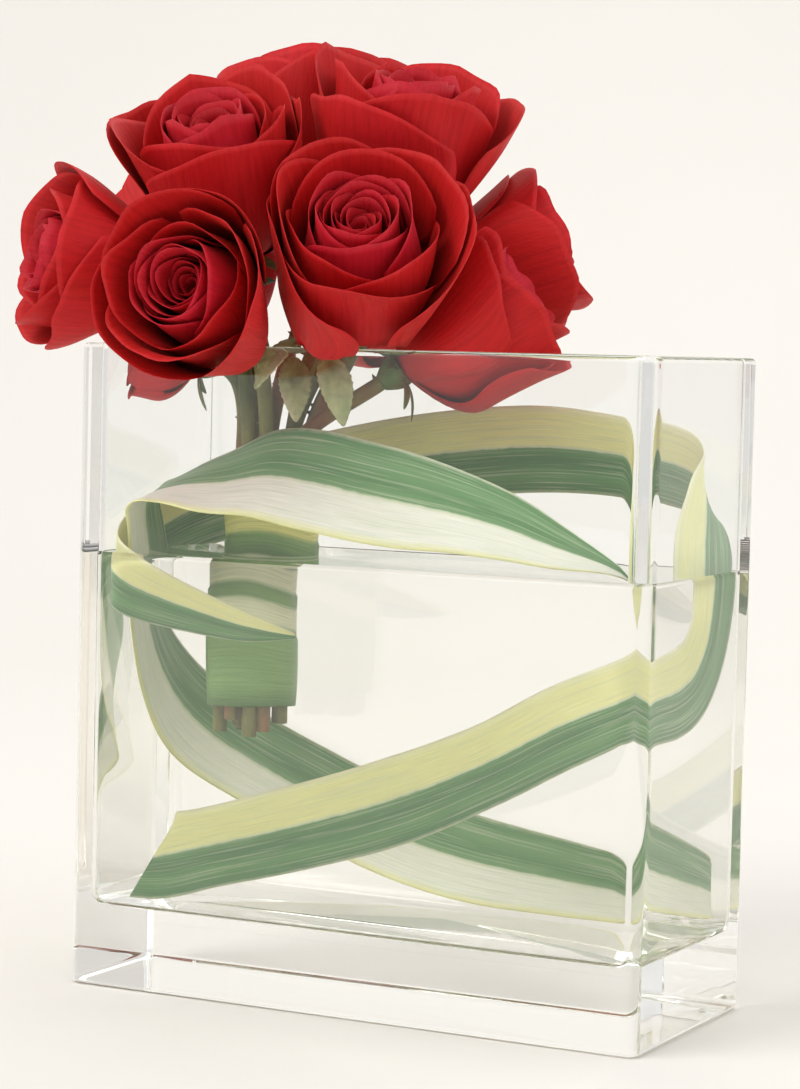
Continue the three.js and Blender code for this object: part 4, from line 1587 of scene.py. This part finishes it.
def main() -> None:
    """Builds the studio, the vase with its water, the leaves and the roses."""
    Studio().build()
    glass = ClearFinish("clear glass", (0.985, 0.995, 0.99), 1.5, 0.0004, 9.0).make()
    # The water's warm grey tint is painted: it darkens and warms the view through the water to stand in for
    # a beige backdrop behind the vase, not the water's own colour.
    water = ClearFinish("still water", (0.965, 0.952, 0.925), 1.333, 0.0003, 12.0).make()
    vase = Vase()
    vase.build(glass)
    Water(vase).build(water)

    high = BladeFinish("front ribbon leaf", green=(0.19, 0.38, 0.16), deep=(0.11, 0.28, 0.10),
                       cream=(0.97, 0.97, 0.86), edge=(0.95, 0.93, 0.42)).make()
    low = BladeFinish("low ribbon leaf", green=(0.15, 0.34, 0.13), deep=(0.09, 0.24, 0.09),
                      cream=(0.96, 0.94, 0.46), edge=(0.96, 0.95, 0.66)).make()
    RibbonLeaf("ribbon_leaf_1", "long_leaf_1", Leading.GREEN, RIBBON_FRONT_HIGH).build(high)
    RibbonLeaf("ribbon_leaf_2", "long_leaf_2", Leading.CREAM, RIBBON_FRONT_LOW).build(low)
    StemWrap().build(wrap_finish())

    outer = PetalFinish("rose petal").make()
    # The heart's copy has a darker velvet: painted shade of the rolled heart, beside its slightly pinker
    # tone.
    inner = PetalFinish("rose heart", velvet=(0.44, 0.010, 0.004), pink=(0.60, 0.014, 0.036)).make()
    calyx = GreenFinish("sepal", light=(0.13, 0.20, 0.05), dark=(0.05, 0.10, 0.03),
                        tint=(0.22, 0.16, 0.06), drift=60.0, grain=420.0).make()
    stem = GreenFinish("stem bark", light=(0.20, 0.20, 0.06), dark=(0.10, 0.13, 0.04),
                       tint=(0.30, 0.12, 0.05), drift=45.0, grain=500.0).make()
    small = GreenFinish("small leaf", light=(0.42, 0.46, 0.22), dark=(0.26, 0.33, 0.13),
                        tint=(0.52, 0.50, 0.30), drift=70.0, grain=300.0).make()
    maker = StemMaker()
    for order, head in enumerate(HEADS):
        head.order = order
        head.neighbours = [other for other in HEADS if other is not head]
    for head in HEADS:
        outer_shapes, inner_shapes = head.petal_shapes()
        head.build_petals(outer_shapes, "outer_petals", "outer_petal", outer)
        head.build_petals(inner_shapes, "inner_petals", "inner_petal", inner)
        head.build_calyx(calyx)
        maker.build(head, stem)
    for leaflet in LEAFLETS:
        leaflet.build(small)


if __name__ == "__main__":
    main()
